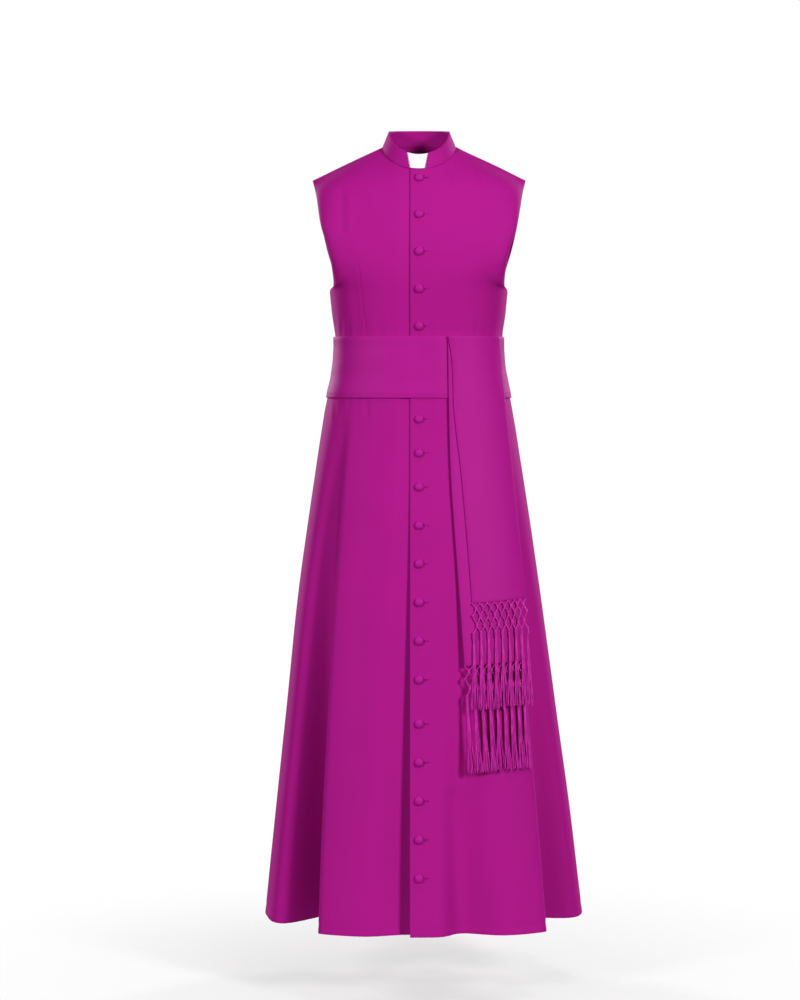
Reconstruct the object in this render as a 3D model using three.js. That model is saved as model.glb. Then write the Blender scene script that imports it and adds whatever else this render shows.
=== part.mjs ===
// A sleeveless clergy robe, hollow as it hangs on a standing figure, with its own waist sash.
// Millimetres, +Z up, the front faces -Y and the wearer's left is +X.
// The origin lies midway between the two points where the shoulder seams meet the neckline.
//
// Every cloth piece is a wall: a grid of outer points, and a grid of inner ones behind it.
// The grids come from rings, which are level sections of the worn robe, and above the underarm
// from rows, which run from the centre of the body to the armhole edge.
import * as THREE from "three";

// ---------------------------------------------------------------- driving sizes

const HEM_Z = -1434;
const UNDERARM_Z = -270;
const CHEST_GUIDE_Z = -310; // a ring that steers the bodice's curves where they leave the rings

const CLOTH = 2; // one layer of suiting with its turned edge
const SASH_CLOTH = 2.5; // two layers of sash cloth
const TAIL_CLOTH = 1.6;
const COLLAR_CLOTH = 2.6; // two layers with a stiffener between them
const TAB_PLASTIC = 0.8;
const SEAM_GAP = 0.3; // left between pieces that are sewn or lie together

// Level sections. Distances run from the body's centre line to each side, the front and the back.
// square is the exponent of the section's outline: 2 is an ellipse, and more is boxier.
const RINGS = [
  { z: HEM_Z, left: 306, right: 287, front: 220, back: 262, square: 2.5 },
  { z: -1218, left: 280, right: 267, front: 200, back: 237, square: 2.45 },
  { z: -1032, left: 255, right: 247, front: 182, back: 212, square: 2.4 },
  { z: -845, left: 229, right: 227, front: 162, back: 187, square: 2.35 },
  { z: -659, left: 201, right: 202, front: 141, back: 160, square: 2.3 },
  { z: -537, left: 182, right: 183, front: 124, back: 138, square: 2.3 },
  { z: -465, left: 169, right: 170, front: 115, back: 121, square: 2.3 },
  { z: -410, left: 158, right: 159, front: 110, back: 108, square: 2.3 },
  { z: -355, left: 155, right: 156, front: 108, back: 103, square: 2.35 },
  { z: -310, left: 161, right: 162, front: 112, back: 110, square: 2.4 },
  { z: UNDERARM_Z, left: 165, right: 166, front: 117, back: 120, square: 2.5 },
  { z: -230, left: 170, right: 170, front: 119, back: 126, square: 2.5 },
];

// Hanging folds of the skirt, as valleys pressed into the rings. angle is measured round from the
// front, positive towards the wearer's left, and drift is added to it at the fold's top. near and
// far are half widths, towards the front and away from it, and crest is the power that sharpens
// the near crest. depth is reached at the hem, and opens is the direction that a valley faces.
const FOLDS = [
  { angle: -51.5, drift: -8, near: 4.2, far: 9, crest: 2.5, depth: 130, top: -470, opens: -30 },
  { angle: 62.5, drift: 3, near: 5, far: 9, crest: 3, depth: 80, top: -560, opens: 46 },
  { angle: 24, drift: 0, near: 9, far: 9, crest: 2, depth: 34, top: -760, opens: 24 },
  { angle: 112, drift: 0, near: 8, far: 8, crest: 2, depth: 46, top: -760, opens: 112 },
  { angle: 143, drift: 0, near: 9, far: 9, crest: 2, depth: 70, top: -600, opens: 143 },
  { angle: 178, drift: 0, near: 9.5, far: 9.5, crest: 2, depth: 56, top: -690, opens: 178 },
  { angle: 211, drift: 0, near: 8.5, far: 8.5, crest: 2, depth: 66, top: -640, opens: 211 },
  { angle: 250, drift: 0, near: 8, far: 8, crest: 2, depth: 60, top: -640, opens: 250 },
];
const FOLD_GROWTH = 1.35; // above 1, a fold opens faster near the hem

// Rows above the underarm, from the centre of the body to the armhole edge.
// lift raises the middle of a row over the round of the shoulder.
const FRONT_ROWS = [
  { centreY: -119, centreZ: -246, edgeX: 157, edgeY: -54, edgeZ: -257, square: 2.6, lift: 0 },
  { centreY: -119, centreZ: -220, edgeX: 159, edgeY: -82, edgeZ: -227, square: 2.6, lift: 0 },
  { centreY: -117, centreZ: -185, edgeX: 167, edgeY: -88, edgeZ: -190, square: 2.5, lift: 0 },
  { centreY: -109, centreZ: -145, edgeX: 179, edgeY: -75, edgeZ: -150, square: 2.3, lift: 2 },
  { centreY: -98, centreZ: -108, edgeX: 186, edgeY: -50, edgeZ: -113, square: 2.1, lift: 6 },
  { centreY: -85, centreZ: -75, edgeX: 191, edgeY: -24, edgeZ: -84, square: 1.7, lift: 12 },
];
const BACK_ROWS = [
  { centreY: 124, centreZ: -246, edgeX: 158.5, edgeY: 50, edgeZ: -257, square: 2.5, lift: 0 },
  { centreY: 127, centreZ: -214, edgeX: 163, edgeY: 74, edgeZ: -227, square: 2.5, lift: 0 },
  { centreY: 127, centreZ: -172, edgeX: 174, edgeY: 80, edgeZ: -190, square: 2.5, lift: 0 },
  { centreY: 121, centreZ: -127, edgeX: 183, edgeY: 70, edgeZ: -150, square: 2.4, lift: 4 },
  { centreY: 109, centreZ: -82, edgeX: 189, edgeY: 50, edgeZ: -113, square: 2.1, lift: 6 },
  { centreY: 91, centreZ: -38, edgeX: 193, edgeY: 26, edgeZ: -84, square: 1.7, lift: 12 },
];

// The neckline, and the top edge of the stand collar, as level ovals that dip at the front.
const NECKLINE = { side: 68, seamY: 4, frontY: -72, backY: 70, frontZ: -46, sideZ: 0, backZ: 4 };
const COLLAR_TOP = { side: 56, seamY: 2, frontY: -62, backY: 60, frontZ: -17, sideZ: 29, backZ: 35 };
const SHOULDER_TIP = new THREE.Vector3(198, NECKLINE.seamY, -62);

// The left front laps over the right one. Distances run along the cloth from the centre front.
const LAP = 16;
const UNDERLAP = 24;
const LAP_GAP = 0.8; // between the two layers
const LAP_SLOPE_END = 48; // where the lower layer has risen to the surface again
const LAP_GAPE = 27; // how much further the lower layer falls back at the hem
const LAP_GAPE_TOP = -560;
const LAP_HEM_SLOPE_END = 84;

// The notch in the front of the collar, and the tab behind it.
const NOTCH = { leftBottom: 11, leftTop: 17, rightBottom: -17, rightTop: -23 };
const TAB_REACH = 15; // how far the tab runs on behind each end of the collar
const TAB_GAP = 0.6; // between the collar and the tab
const TAB_INSET = 1; // below the collar's top edge and above the neckline

// The sash: a band round the waist, and two tails that hang at the wearer's left.
const SASH_TOP_Z = -352;
const SASH_BOTTOM_Z = -465;
const SASH_CLEARANCE = 1.3;
const TAIL_WIDTH = 112;
const TAILS = {
  // start is the distance from the centre front to the tail's near edge, along the cloth
  inner: {
    bottomZ: -946,
    layer: 0,
    path: [
      { z: -1150, start: 97 },
      { z: -946, start: 83 },
      { z: -833, start: 75 },
      { z: -616, start: 59 },
      { z: -500, start: 55 },
      { z: SASH_TOP_Z, start: 53 },
    ],
  },
  outer: {
    bottomZ: -833,
    layer: 1,
    path: [
      { z: -1150, start: 104 },
      { z: -946, start: 101 },
      { z: -833, start: 98 },
      { z: -616, start: 81 },
      { z: -489, start: 67 },
      { z: SASH_TOP_Z, start: 53.5 },
    ],
  },
};
// How far the inner tail's near face stands off the robe.
const TAIL_STANDOFF = [
  { z: -1150, off: 3.2 },
  { z: -900, off: 3 },
  { z: -600, off: 2.4 },
  { z: SASH_BOTTOM_Z - 30, off: 4 },
  { z: SASH_BOTTOM_Z, off: SASH_CLEARANCE + SASH_CLOTH + 0.8 },
  { z: SASH_TOP_Z, off: SASH_CLEARANCE + SASH_CLOTH + 0.8 },
];
const TAIL_LAYER = TAIL_CLOTH + 1; // from one tail's face to the next one's

// The fringe: a knotted net under the tail's edge, and tassels of strands under the net.
const FRINGE = {
  pitches: 8,
  knot: 1.8, // half a knot's width
  thick: 2,
  head: 6, // of a tassel, above its strands
  length: 191,
  strandsInTassel: 5,
  strandWidth: 1.5,
  rootPitch: 1.95,
  tipPitch: 2.62,
  uneven: 3,
};
const UNEVEN_STEP = 2.4; // from one strand to the next, so that no two neighbours end level
// The strip that the net hangs from, and its rows of knots, as depths below the tail's edge. Every
// other row is set half a pitch aside.
const NET_ROWS = [
  { top: 0, bottom: 2 },
  { top: 7, bottom: 12 },
  { top: 18, bottom: 25 },
  { top: 33, bottom: 38 },
  { top: 45, bottom: 52 },
];

// Covered buttons on the centre front, in runs of even spacing. The sash covers the place of one more.
const BUTTON = { radius: 8, backRadius: 6.9, height: 5, rim: 1.6, standoff: 0.5 };
const BUTTON_RUNS = [
  { name: "bodice", firstZ: -62.5, pitch: 67.8, count: 5 },
  { name: "hip", firstZ: -503, pitch: 61.5, count: 2 },
  { name: "skirt", firstZ: -626, pitch: 69.4, count: 6 },
  { name: "hem", firstZ: -1052.2, pitch: 69.1, count: 5 },
];

// How finely the walls are divided.
const SKIRT_STEPS = 14;
const SASH_STEPS = 3;
const CHEST_STEPS = 2;
const BODICE_STEPS = 9;
const FRONT_COLUMNS = 20;
const BACK_COLUMNS = 15; // on each side of the centre back
const NECK_SHARE = 0.4; // of these, the ones that end on the neckline
const COLLAR_ROWS = 2;
const TAB_COLUMNS = 10;
const SASH_COLUMNS = 60;
const TAIL_COLUMNS = 8;
const TAIL_ROWS = 12;
const BUTTON_SIDES = 12;
const BUTTON_DOME_STEPS = 3;
const ARC_SAMPLES = 180;

// ---------------------------------------------------------------- colours

const cloth = (color, roughness) => new THREE.MeshStandardMaterial({ color, roughness });
const ROBE_CLOTH = cloth(0xa5178a, 0.75);
const SASH_SATIN = cloth(0xac1a8e, 0.6);
const FRINGE_YARN = cloth(0xb0209a, 0.7);
const TAB_WHITE = cloth(0xf2f5f7, 0.35);

// ---------------------------------------------------------------- small helpers

const degrees = Math.PI / 180;
const NEAR = 0.001;
const lerp = THREE.MathUtils.lerp;
const smoothstep = THREE.MathUtils.smoothstep;

function range(count, from, to) {
  return Array.from({ length: count + 1 }, (_, i) => lerp(from, to, i / count));
}

// A column's value between the rows of a table that is sorted by z, on a smooth curve through them.
function columnAt(table, column, z) {
  const slope = (i) => {
    const a = table[Math.max(i - 1, 0)];
    const b = table[Math.min(i + 1, table.length - 1)];
    return (b[column] - a[column]) / (b.z - a.z);
  };
  const above = table.findIndex((row) => row.z > z);
  const i = above < 0 ? table.length - 2 : Math.max(above - 1, 0);
  const [a, b] = [table[i], table[i + 1]];
  const span = b.z - a.z;
  const t = THREE.MathUtils.clamp((z - a.z) / span, 0, 1);
  const bend = (1 - t) * slope(i) * span - t * slope(i + 1) * span;
  const straight = b[column] - a[column];
  return a[column] + straight * t + t * (1 - t) * (bend - (1 - 2 * t) * straight);
}

// ---------------------------------------------------------------- the worn form

function ringAt(z) {
  const ring = { z };
  for (const column of ["left", "right", "front", "back", "square"]) {
    ring[column] = columnAt(RINGS, column, z);
  }
  return ring;
}

// How far the folds press a ring's point in, as a shift in the level plane.
function foldShift(angle, z) {
  const shift = new THREE.Vector3();
  for (const fold of FOLDS) {
    const opened = (fold.top - z) / (fold.top - HEM_Z);
    if (opened <= 0) continue;
    const middle = fold.angle + fold.drift * (1 - opened);
    const away = THREE.MathUtils.euclideanModulo(angle - middle + 180, 360) - 180;
    const front = THREE.MathUtils.euclideanModulo(-middle + 180, 360) - 180;
    const [width, power] = away * front > 0 ? [fold.near, fold.crest] : [fold.far, 2];
    const depth = fold.depth * opened ** FOLD_GROWTH * Math.exp(-(Math.abs(away / width) ** power));
    shift.x -= depth * Math.sin(fold.opens * degrees);
    shift.y += depth * Math.cos(fold.opens * degrees);
  }
  return shift;
}

// The point of a ring at an angle from the front, moved out by some distance. A smooth one has no folds.
function ringPoint(ring, angle, out = 0, smooth = false) {
  const sin = Math.sin(angle * degrees);
  const cos = Math.cos(angle * degrees);
  const across = Math.abs(sin) / ((sin < 0 ? ring.right : ring.left) + out);
  const along = Math.abs(cos) / ((cos < 0 ? ring.back : ring.front) + out);
  const radius = (across ** ring.square + along ** ring.square) ** (-1 / ring.square);
  const point = new THREE.Vector3(radius * sin, -radius * cos, ring.z);
  return smooth ? point : point.add(foldShift(angle, ring.z));
}

// Points at given distances along a curve, which runs from t = 0 to t = 1.
function walk(curve, distances) {
  const samples = range(ARC_SAMPLES, 0, 1).map(curve);
  const reached = [0];
  for (let i = 1; i < samples.length; i++) {
    reached.push(reached[i - 1] + samples[i].distanceTo(samples[i - 1]));
  }
  const wanted = typeof distances === "function" ? distances(reached[ARC_SAMPLES]) : distances;
  return wanted.map((distance) => {
    const after = Math.max(1, reached.findIndex((length) => length >= distance));
    const from = reached[after - 1];
    const t = (Math.min(distance, reached[ARC_SAMPLES]) - from) / (reached[after] - from);
    return samples[after - 1].clone().lerp(samples[after], t);
  });
}

// The outline of an oval such as the neckline, at an angle from the front.
function ovalPoint(oval, angle) {
  const sin = Math.sin(angle * degrees);
  const cos = Math.cos(angle * degrees);
  const [endY, endZ] = cos > 0 ? [oval.frontY, oval.frontZ] : [oval.backY, oval.backZ];
  const share = Math.abs(cos);
  return new THREE.Vector3(
    oval.side * sin,
    lerp(oval.seamY, endY, share),
    lerp(oval.sideZ, endZ, share),
  );
}

// ---------------------------------------------------------------- rows of a panel

// A panel's row runs outwards from the centre line: face is -1 at the front and 1 at the back,
// side is 1 at the wearer's left and -1 at the right. Each of these gives a curve of t = 0 to 1.
function ringCurve(z, face, side) {
  const ring = ringAt(z);
  const centre = face < 0 ? 0 : 180;
  return (t) => ringPoint(ring, centre - side * face * 90 * t);
}

function bodiceCurve(row, side) {
  return (t) => {
    const angle = t * 90 * degrees;
    const share = Math.sin(angle) ** (2 / row.square);
    const depth = Math.cos(angle) ** (2 / row.square);
    return new THREE.Vector3(
      side * row.edgeX * share,
      lerp(row.edgeY, row.centreY, depth),
      lerp(row.centreZ, row.edgeZ, t) + row.lift * Math.sin(Math.PI * t) ** 2,
    );
  };
}

function neckCurve(face, side) {
  const centre = face < 0 ? 0 : 180;
  return (t) => ovalPoint(NECKLINE, centre - side * face * 90 * t);
}

function shoulderCurve(side) {
  const neckPoint = ovalPoint(NECKLINE, side * 90);
  const tip = SHOULDER_TIP.clone().multiply(new THREE.Vector3(side, 1, 1));
  return (t) => neckPoint.clone().lerp(tip, t);
}

// The distances of a row's points: the ones beside the centre line first, then even steps.
function steps(beside, columns, length) {
  const from = beside[beside.length - 1];
  return [...beside.slice(0, -1), ...range(columns, from, length)];
}

// Half of a panel as rows of points from the hem to the neckline and shoulder seam. beside holds the
// distances next to the centre line, where a negative one lies across it on the other side.
function halfPanel(face, side, beside, columns) {
  const across = beside.filter((distance) => distance < 0).map((distance) => -distance);
  const own = beside.filter((distance) => distance >= 0);
  const neckColumns = Math.round(NECK_SHARE * columns);
  const rowOf = (curveOn) => [
    ...walk(curveOn(-side), across),
    ...walk(curveOn(side), (length) => steps(own, columns, length)),
  ];
  const levels = [
    ...range(SKIRT_STEPS, HEM_Z, SASH_BOTTOM_Z),
    ...range(SASH_STEPS, SASH_BOTTOM_Z, SASH_TOP_Z).slice(1),
    ...range(CHEST_STEPS, SASH_TOP_Z, UNDERARM_Z).slice(1),
  ];
  const rows = levels.map((z) => rowOf((s) => ringCurve(z, face, s)));
  const neck = [
    ...walk(neckCurve(face, -side), across),
    ...walk(neckCurve(face, side), (length) => steps(own, neckColumns, length)),
  ];
  const shoulder = range(columns - neckColumns, 0, 1).slice(1).map(shoulderCurve(side));
  const guides = [
    rowOf((s) => ringCurve(CHEST_GUIDE_Z, face, s)),
    rows[rows.length - 1],
    ...(face < 0 ? FRONT_ROWS : BACK_ROWS).map((row) => rowOf((s) => bodiceCurve(row, s))),
    [...neck, ...shoulder],
  ];
  const first = 1 / (guides.length - 1);
  const curves = guides[0].map(
    (_, i) => new THREE.CatmullRomCurve3(guides.map((guide) => guide[i])),
  );
  for (const t of range(BODICE_STEPS, first, 1).slice(1)) {
    rows.push(curves.map((curve) => curve.getPoint(t)));
  }
  return rows;
}

// ---------------------------------------------------------------- walls

// The outward direction at each point of a grid whose columns run anticlockwise seen from above.
function normalsOf(grid) {
  return grid.map((row, i) =>
    row.map((_, j) => {
      const along = row[Math.min(j + 1, row.length - 1)].clone().sub(row[Math.max(j - 1, 0)]);
      const up = grid[Math.min(i + 1, grid.length - 1)][j]
        .clone()
        .sub(grid[Math.max(i - 1, 0)][j]);
      return along.cross(up).normalize();
    }),
  );
}

// A closed wall between two grids of the same size, the first one outside.
function wallBetween(outer, inner) {
  const rows = outer.length;
  const columns = outer[0].length;
  const points = [...outer.flat(), ...inner.flat()];
  const at = (side, i, j) => side * rows * columns + i * columns + j;
  const faces = [];
  const quad = (a, b, c, d) => faces.push(a, b, c, a, c, d);
  for (let i = 0; i + 1 < rows; i++) {
    for (let j = 0; j + 1 < columns; j++) {
      quad(at(0, i, j), at(0, i, j + 1), at(0, i + 1, j + 1), at(0, i + 1, j));
      quad(at(1, i, j), at(1, i + 1, j), at(1, i + 1, j + 1), at(1, i, j + 1));
    }
    quad(at(0, i, 0), at(0, i + 1, 0), at(1, i + 1, 0), at(1, i, 0));
    quad(at(0, i + 1, columns - 1), at(0, i, columns - 1), at(1, i, columns - 1), at(1, i + 1, columns - 1));
  }
  for (let j = 0; j + 1 < columns; j++) {
    quad(at(0, 0, j + 1), at(0, 0, j), at(1, 0, j), at(1, 0, j + 1));
    quad(at(0, rows - 1, j), at(0, rows - 1, j + 1), at(1, rows - 1, j + 1), at(1, rows - 1, j));
  }
  const geometry = new THREE.BufferGeometry().setFromPoints(points);
  geometry.setIndex(faces);
  return geometry;
}

// A panel's wall: its inner grid is the outer one moved inwards, squarely to the seams on them.
function panel(name, outer) {
  const normals = normalsOf(outer);
  const inner = outer.map((row, i) =>
    row.map((point, j) => {
      const normal = normals[i][j];
      if (onSeam(outer, i, j)) normal.setY(0).normalize();
      return point.clone().addScaledVector(normal, -CLOTH);
    }),
  );
  return piece(name, wallBetween(outer, inner), ROBE_CLOTH);
}

function piece(name, geometry, material) {
  const mesh = new THREE.Mesh(geometry, material);
  mesh.name = name;
  return mesh;
}

// ---------------------------------------------------------------- the three panels

// A point lies on a seam between front and back where the sides meet below the armhole, at the
// armhole's own edge, or along the shoulder.
function onSeam(grid, i, j) {
  const row = grid[i];
  const first = Math.abs(row[0].x) > LAP_SLOPE_END && j === 0;
  const last = Math.abs(row.at(-1).x) > LAP_SLOPE_END && j === row.length - 1;
  const shoulder = i === grid.length - 1 && Math.abs(row[j].x) > NECKLINE.side - NEAR;
  return first || last || shoulder;
}

// Moves the points of the seams apart, so that front and back stay clear of each other.
function openSeams(grid, face) {
  grid.forEach((row, i) => {
    row.forEach((point, j) => {
      if (onSeam(grid, i, j)) point.y += (face * SEAM_GAP) / 2;
    });
  });
}

function leftFrontGrid() {
  const grid = halfPanel(-1, 1, [-LAP, 0, UNDERLAP / 2, UNDERLAP], FRONT_COLUMNS);
  openSeams(grid, -1);
  return grid;
}

// The right front passes under the left one, so it steps inwards beside the centre line.
function rightFrontGrid() {
  const beside = [-UNDERLAP, -UNDERLAP / 2, 0, LAP, (LAP + LAP_SLOPE_END) / 2, LAP_SLOPE_END];
  const grid = halfPanel(-1, -1, beside, FRONT_COLUMNS - 1).map((row) => row.reverse());
  for (const row of grid) {
    const gaping = smoothstep(LAP_GAPE_TOP - row[0].z, 0, LAP_GAPE_TOP - HEM_Z);
    const slopeEnd = lerp(LAP_SLOPE_END, LAP_HEM_SLOPE_END, gaping);
    for (const point of row) {
      const sunk = 1 - smoothstep(-point.x, LAP, slopeEnd);
      point.y += sunk * (CLOTH + LAP_GAP + LAP_GAPE * gaping);
    }
  }
  openSeams(grid, -1);
  return grid;
}

function backGrid() {
  const left = halfPanel(1, 1, [0], BACK_COLUMNS);
  const right = halfPanel(1, -1, [0], BACK_COLUMNS);
  const grid = left.map((row, i) => [...row.reverse(), ...right[i].slice(1)]);
  openSeams(grid, 1);
  return grid;
}

const LEFT_FRONT = leftFrontGrid();
const RIGHT_FRONT = rightFrontGrid();
const BACK = backGrid();

// ---------------------------------------------------------------- collar and tab

// A point of the collar's outer face: share is 0 at the neckline and 1 at the top edge.
function collarPoint(angle, share, inward) {
  const low = ovalPoint(NECKLINE, angle).add(new THREE.Vector3(0, 0, SEAM_GAP));
  const point = low.lerp(ovalPoint(COLLAR_TOP, angle), share);
  const towards = new THREE.Vector3(-point.x / NECKLINE.side, -point.y / NECKLINE.backY, 0);
  return point.addScaledVector(towards.normalize(), inward);
}

// The angle at which the collar's face is at x, near the front.
function notchAngle(x, share) {
  const side = lerp(NECKLINE.side, COLLAR_TOP.side, share);
  return Math.asin(x / side) / degrees;
}

// The angles at which the panels have points on the neckline, anticlockwise from the front.
function neckAngles() {
  const angles = (grid, reach) => {
    const shares = grid.at(-1).map((point) => point.x / NECKLINE.side);
    const along = shares.filter((share) => Math.abs(share) < reach);
    return along.map((share) => Math.asin(THREE.MathUtils.clamp(share, -1, 1)) / degrees);
  };
  return [
    ...angles(LEFT_FRONT, 1 - NEAR),
    ...angles(BACK, 1 + NEAR).map((angle) => 180 - angle),
    ...angles(RIGHT_FRONT, 1 - NEAR).map((angle) => 360 + angle),
  ];
}

function collar() {
  const first = notchAngle(NOTCH.leftTop, 1);
  const last = 360 + notchAngle(NOTCH.rightTop, 1);
  const between = neckAngles().filter((angle) => angle > first && angle < last);
  const gridAt = (inward) =>
    range(COLLAR_ROWS, 0, 1).map((share) => {
      const start = notchAngle(lerp(NOTCH.leftBottom, NOTCH.leftTop, share), share);
      const end = 360 + notchAngle(lerp(NOTCH.rightBottom, NOTCH.rightTop, share), share);
      return [start, ...between, end].map((angle) => collarPoint(angle, share, inward));
    });
  return piece("collar", wallBetween(gridAt(0), gridAt(COLLAR_CLOTH)), ROBE_CLOTH);
}

function collarTab() {
  const inset = TAB_INSET / (COLLAR_TOP.frontZ - NECKLINE.frontZ);
  const gridAt = (inward) =>
    range(COLLAR_ROWS, inset, 1 - inset).map((share) => {
      const start = notchAngle(NOTCH.rightTop - TAB_REACH, share);
      const end = notchAngle(NOTCH.leftTop + TAB_REACH, share);
      return range(TAB_COLUMNS, start, end).map((angle) => collarPoint(angle, share, inward));
    });
  const face = COLLAR_CLOTH + TAB_GAP;
  return piece("collar_tab", wallBetween(gridAt(face), gridAt(face + TAB_PLASTIC)), TAB_WHITE);
}

// ---------------------------------------------------------------- sash

function sashBand() {
  const ringOf = (z, out) =>
    range(SASH_COLUMNS, 0, 360).slice(1).map((angle) => ringPoint(ringAt(z), angle, out, true));
  const levels = range(SASH_STEPS, SASH_BOTTOM_Z, SASH_TOP_Z);
  const outer = levels.map((z) => ringOf(z, SASH_CLEARANCE + SASH_CLOTH));
  const inner = levels.map((z) => ringOf(z, SASH_CLEARANCE));
  return piece("sash_band", tubeBetween(outer, inner), SASH_SATIN);
}

// A closed wall between two tubes of rings, each ring without its last repeated point.
function tubeBetween(outer, inner) {
  const rows = outer.length;
  const columns = outer[0].length;
  const at = (side, i, j) => side * rows * columns + i * columns + (j % columns);
  const faces = [];
  const quad = (a, b, c, d) => faces.push(a, b, c, a, c, d);
  for (let j = 0; j < columns; j++) {
    for (let i = 0; i + 1 < rows; i++) {
      quad(at(0, i, j), at(0, i, j + 1), at(0, i + 1, j + 1), at(0, i + 1, j));
      quad(at(1, i, j), at(1, i + 1, j), at(1, i + 1, j + 1), at(1, i, j + 1));
    }
    quad(at(0, 0, j + 1), at(0, 0, j), at(1, 0, j), at(1, 0, j + 1));
    quad(at(0, rows - 1, j), at(0, rows - 1, j + 1), at(1, rows - 1, j + 1), at(1, rows - 1, j));
  }
  const geometry = new THREE.BufferGeometry().setFromPoints([...outer.flat(), ...inner.flat()]);
  geometry.setIndex(faces);
  return geometry;
}

// Points of a tail at one level, for distances across it, with its face standing off by some more.
function tailPoints(tail, z, acrosses, raise) {
  const off = columnAt(TAIL_STANDOFF, "off", z) + tail.layer * TAIL_LAYER + raise;
  const start = columnAt(tail.path, "start", z);
  const ring = ringAt(z);
  const curve = (t) => ringPoint(ring, 90 * t, off, true);
  return walk(curve, acrosses.map((across) => start + across));
}

function sashTail(name, tail) {
  const acrosses = range(TAIL_COLUMNS, 0, TAIL_WIDTH);
  const levels = range(TAIL_ROWS, tail.bottomZ, SASH_TOP_Z);
  const outer = levels.map((z) => tailPoints(tail, z, acrosses, TAIL_CLOTH));
  const inner = levels.map((z) => tailPoints(tail, z, acrosses, 0));
  return piece(name, wallBetween(outer, inner), SASH_SATIN);
}

// ---------------------------------------------------------------- fringe

// The net is cut into half pitches, each with one edge where the strip's cords begin. There a cord
// starts, and runs from side to side by way of the knots, which straddle the edges of the halves.
function netFaces() {
  const { pitches, knot } = FRINGE;
  const half = TAIL_WIDTH / pitches / 2;
  const [strip, ...knots] = NET_ROWS;
  const faces = [];
  for (let i = 0; i < 2 * pitches; i++) {
    const start = (i % 2 ? i + 1 : i) * half;
    const side = i % 2 ? -1 : 1;
    const add = (...corners) => faces.push(corners.map(([x, down]) => [start + side * x, down]));
    add([0, 0], [knot, 0], [knot, strip.bottom], [0, strip.bottom]);
    add([knot, 0], [half, 0], [half, strip.bottom], [knot, strip.bottom]);
    let from = [[knot, strip.bottom], [0, strip.bottom]];
    knots.forEach(({ top, bottom }, row) => {
      const [edge, inner] = row % 2 ? [0, knot] : [half, half - knot];
      const middle = (top + bottom) / 2;
      add(from[0], [inner, top], [inner, middle], from[1]);
      add([edge, top], [inner, top], [inner, middle], [edge, middle]);
      add([edge, middle], [inner, middle], [inner, bottom], [edge, bottom]);
      from = [[inner, middle], [inner, bottom]];
    });
  }
  return faces;
}

// Under each knot of the last row, a tassel: a head that widens, and strands that hang from it.
function tasselFaces() {
  const { pitches, knot, head, length, strandsInTassel, strandWidth, rootPitch, tipPitch } = FRINGE;
  const top = NET_ROWS.at(-1).bottom;
  const root = top + head;
  const faces = [];
  for (let tassel = 0; tassel <= pitches; tassel++) {
    const middle = (tassel * TAIL_WIDTH) / pitches;
    const rim = [];
    for (let k = 0; k < strandsInTassel; k++) {
      const place = k - (strandsInTassel - 1) / 2;
      const end = length + FRINGE.uneven * Math.sin(UNEVEN_STEP * (tassel * strandsInTassel + k));
      const [left, right] = [-strandWidth / 2, strandWidth / 2].map((edge) => [
        [middle + place * rootPitch + edge, root],
        [middle + place * tipPitch + edge, end],
      ]);
      faces.push([left[0], right[0], right[1], left[1]]);
      rim.push(left[0], right[0]);
    }
    const left = [Math.max(middle - knot, 0), top];
    const right = [Math.min(middle + knot, TAIL_WIDTH), top];
    const between = tassel > 0 && tassel < pitches ? [[middle, top]] : [];
    faces.push([...between, right, ...rim.reverse(), left]);
  }
  return faces;
}

// A solid laid flat on a curved surface. Its faces are convex outlines of (across, down) that share
// their corners, and place(across, down, share) puts a corner between the solid's two sides.
function slab(faces, place) {
  const corners = new Map();
  const indexOf = (corner) => {
    const key = corner.map((value) => value.toFixed(3)).join(" ");
    if (!corners.has(key)) corners.set(key, { corner, index: corners.size });
    return corners.get(key).index;
  };
  const turn = ([a, b, c]) => (b[0] - a[0]) * (c[1] - a[1]) - (b[1] - a[1]) * (c[0] - a[0]);
  const rings = faces.map((face) => (turn(face) > 0 ? face : [...face].reverse()).map(indexOf));
  const count = corners.size;
  const points = [1, 0].flatMap((share) =>
    [...corners.values()].map(({ corner }) => place(...corner, share)),
  );
  const triangles = [];
  const edges = new Set();
  for (const ring of rings) {
    for (let i = 2; i < ring.length; i++) {
      const [a, b, c] = [ring[0], ring[i - 1], ring[i]];
      triangles.push(a, c, b, count + a, count + b, count + c);
    }
    ring.forEach((a, i) => edges.add(`${a} ${ring[(i + 1) % ring.length]}`));
  }
  for (const edge of edges) {
    const [a, b] = edge.split(" ").map(Number);
    if (edges.has(`${b} ${a}`)) continue;
    triangles.push(a, b, count + b, a, count + b, count + a);
  }
  const geometry = new THREE.BufferGeometry().setFromPoints(points);
  geometry.setIndex(triangles);
  return geometry;
}

function fringe(name, tail) {
  const place = (across, down, share) => {
    const raise = lerp(TAIL_CLOTH - FRINGE.thick, TAIL_CLOTH + FRINGE.thick, share) / 2;
    return tailPoints(tail, tail.bottomZ - SEAM_GAP - down, [across], raise)[0];
  };
  return piece(name, slab([...netFaces(), ...tasselFaces()], place), FRINGE_YARN);
}

// ---------------------------------------------------------------- buttons

// A button's profile, from the middle of its flat back over the dome.
function buttonGeometry() {
  const { radius, backRadius, height, rim } = BUTTON;
  const profile = [new THREE.Vector2(0, 0), new THREE.Vector2(backRadius, 0)];
  for (const angle of range(BUTTON_DOME_STEPS, 0, 90)) {
    const turn = angle * degrees;
    profile.push(new THREE.Vector2(radius * Math.cos(turn), rim + (height - rim) * Math.sin(turn)));
  }
  profile[profile.length - 1].x = 0;
  return new THREE.LatheGeometry(profile, BUTTON_SIDES);
}

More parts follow.
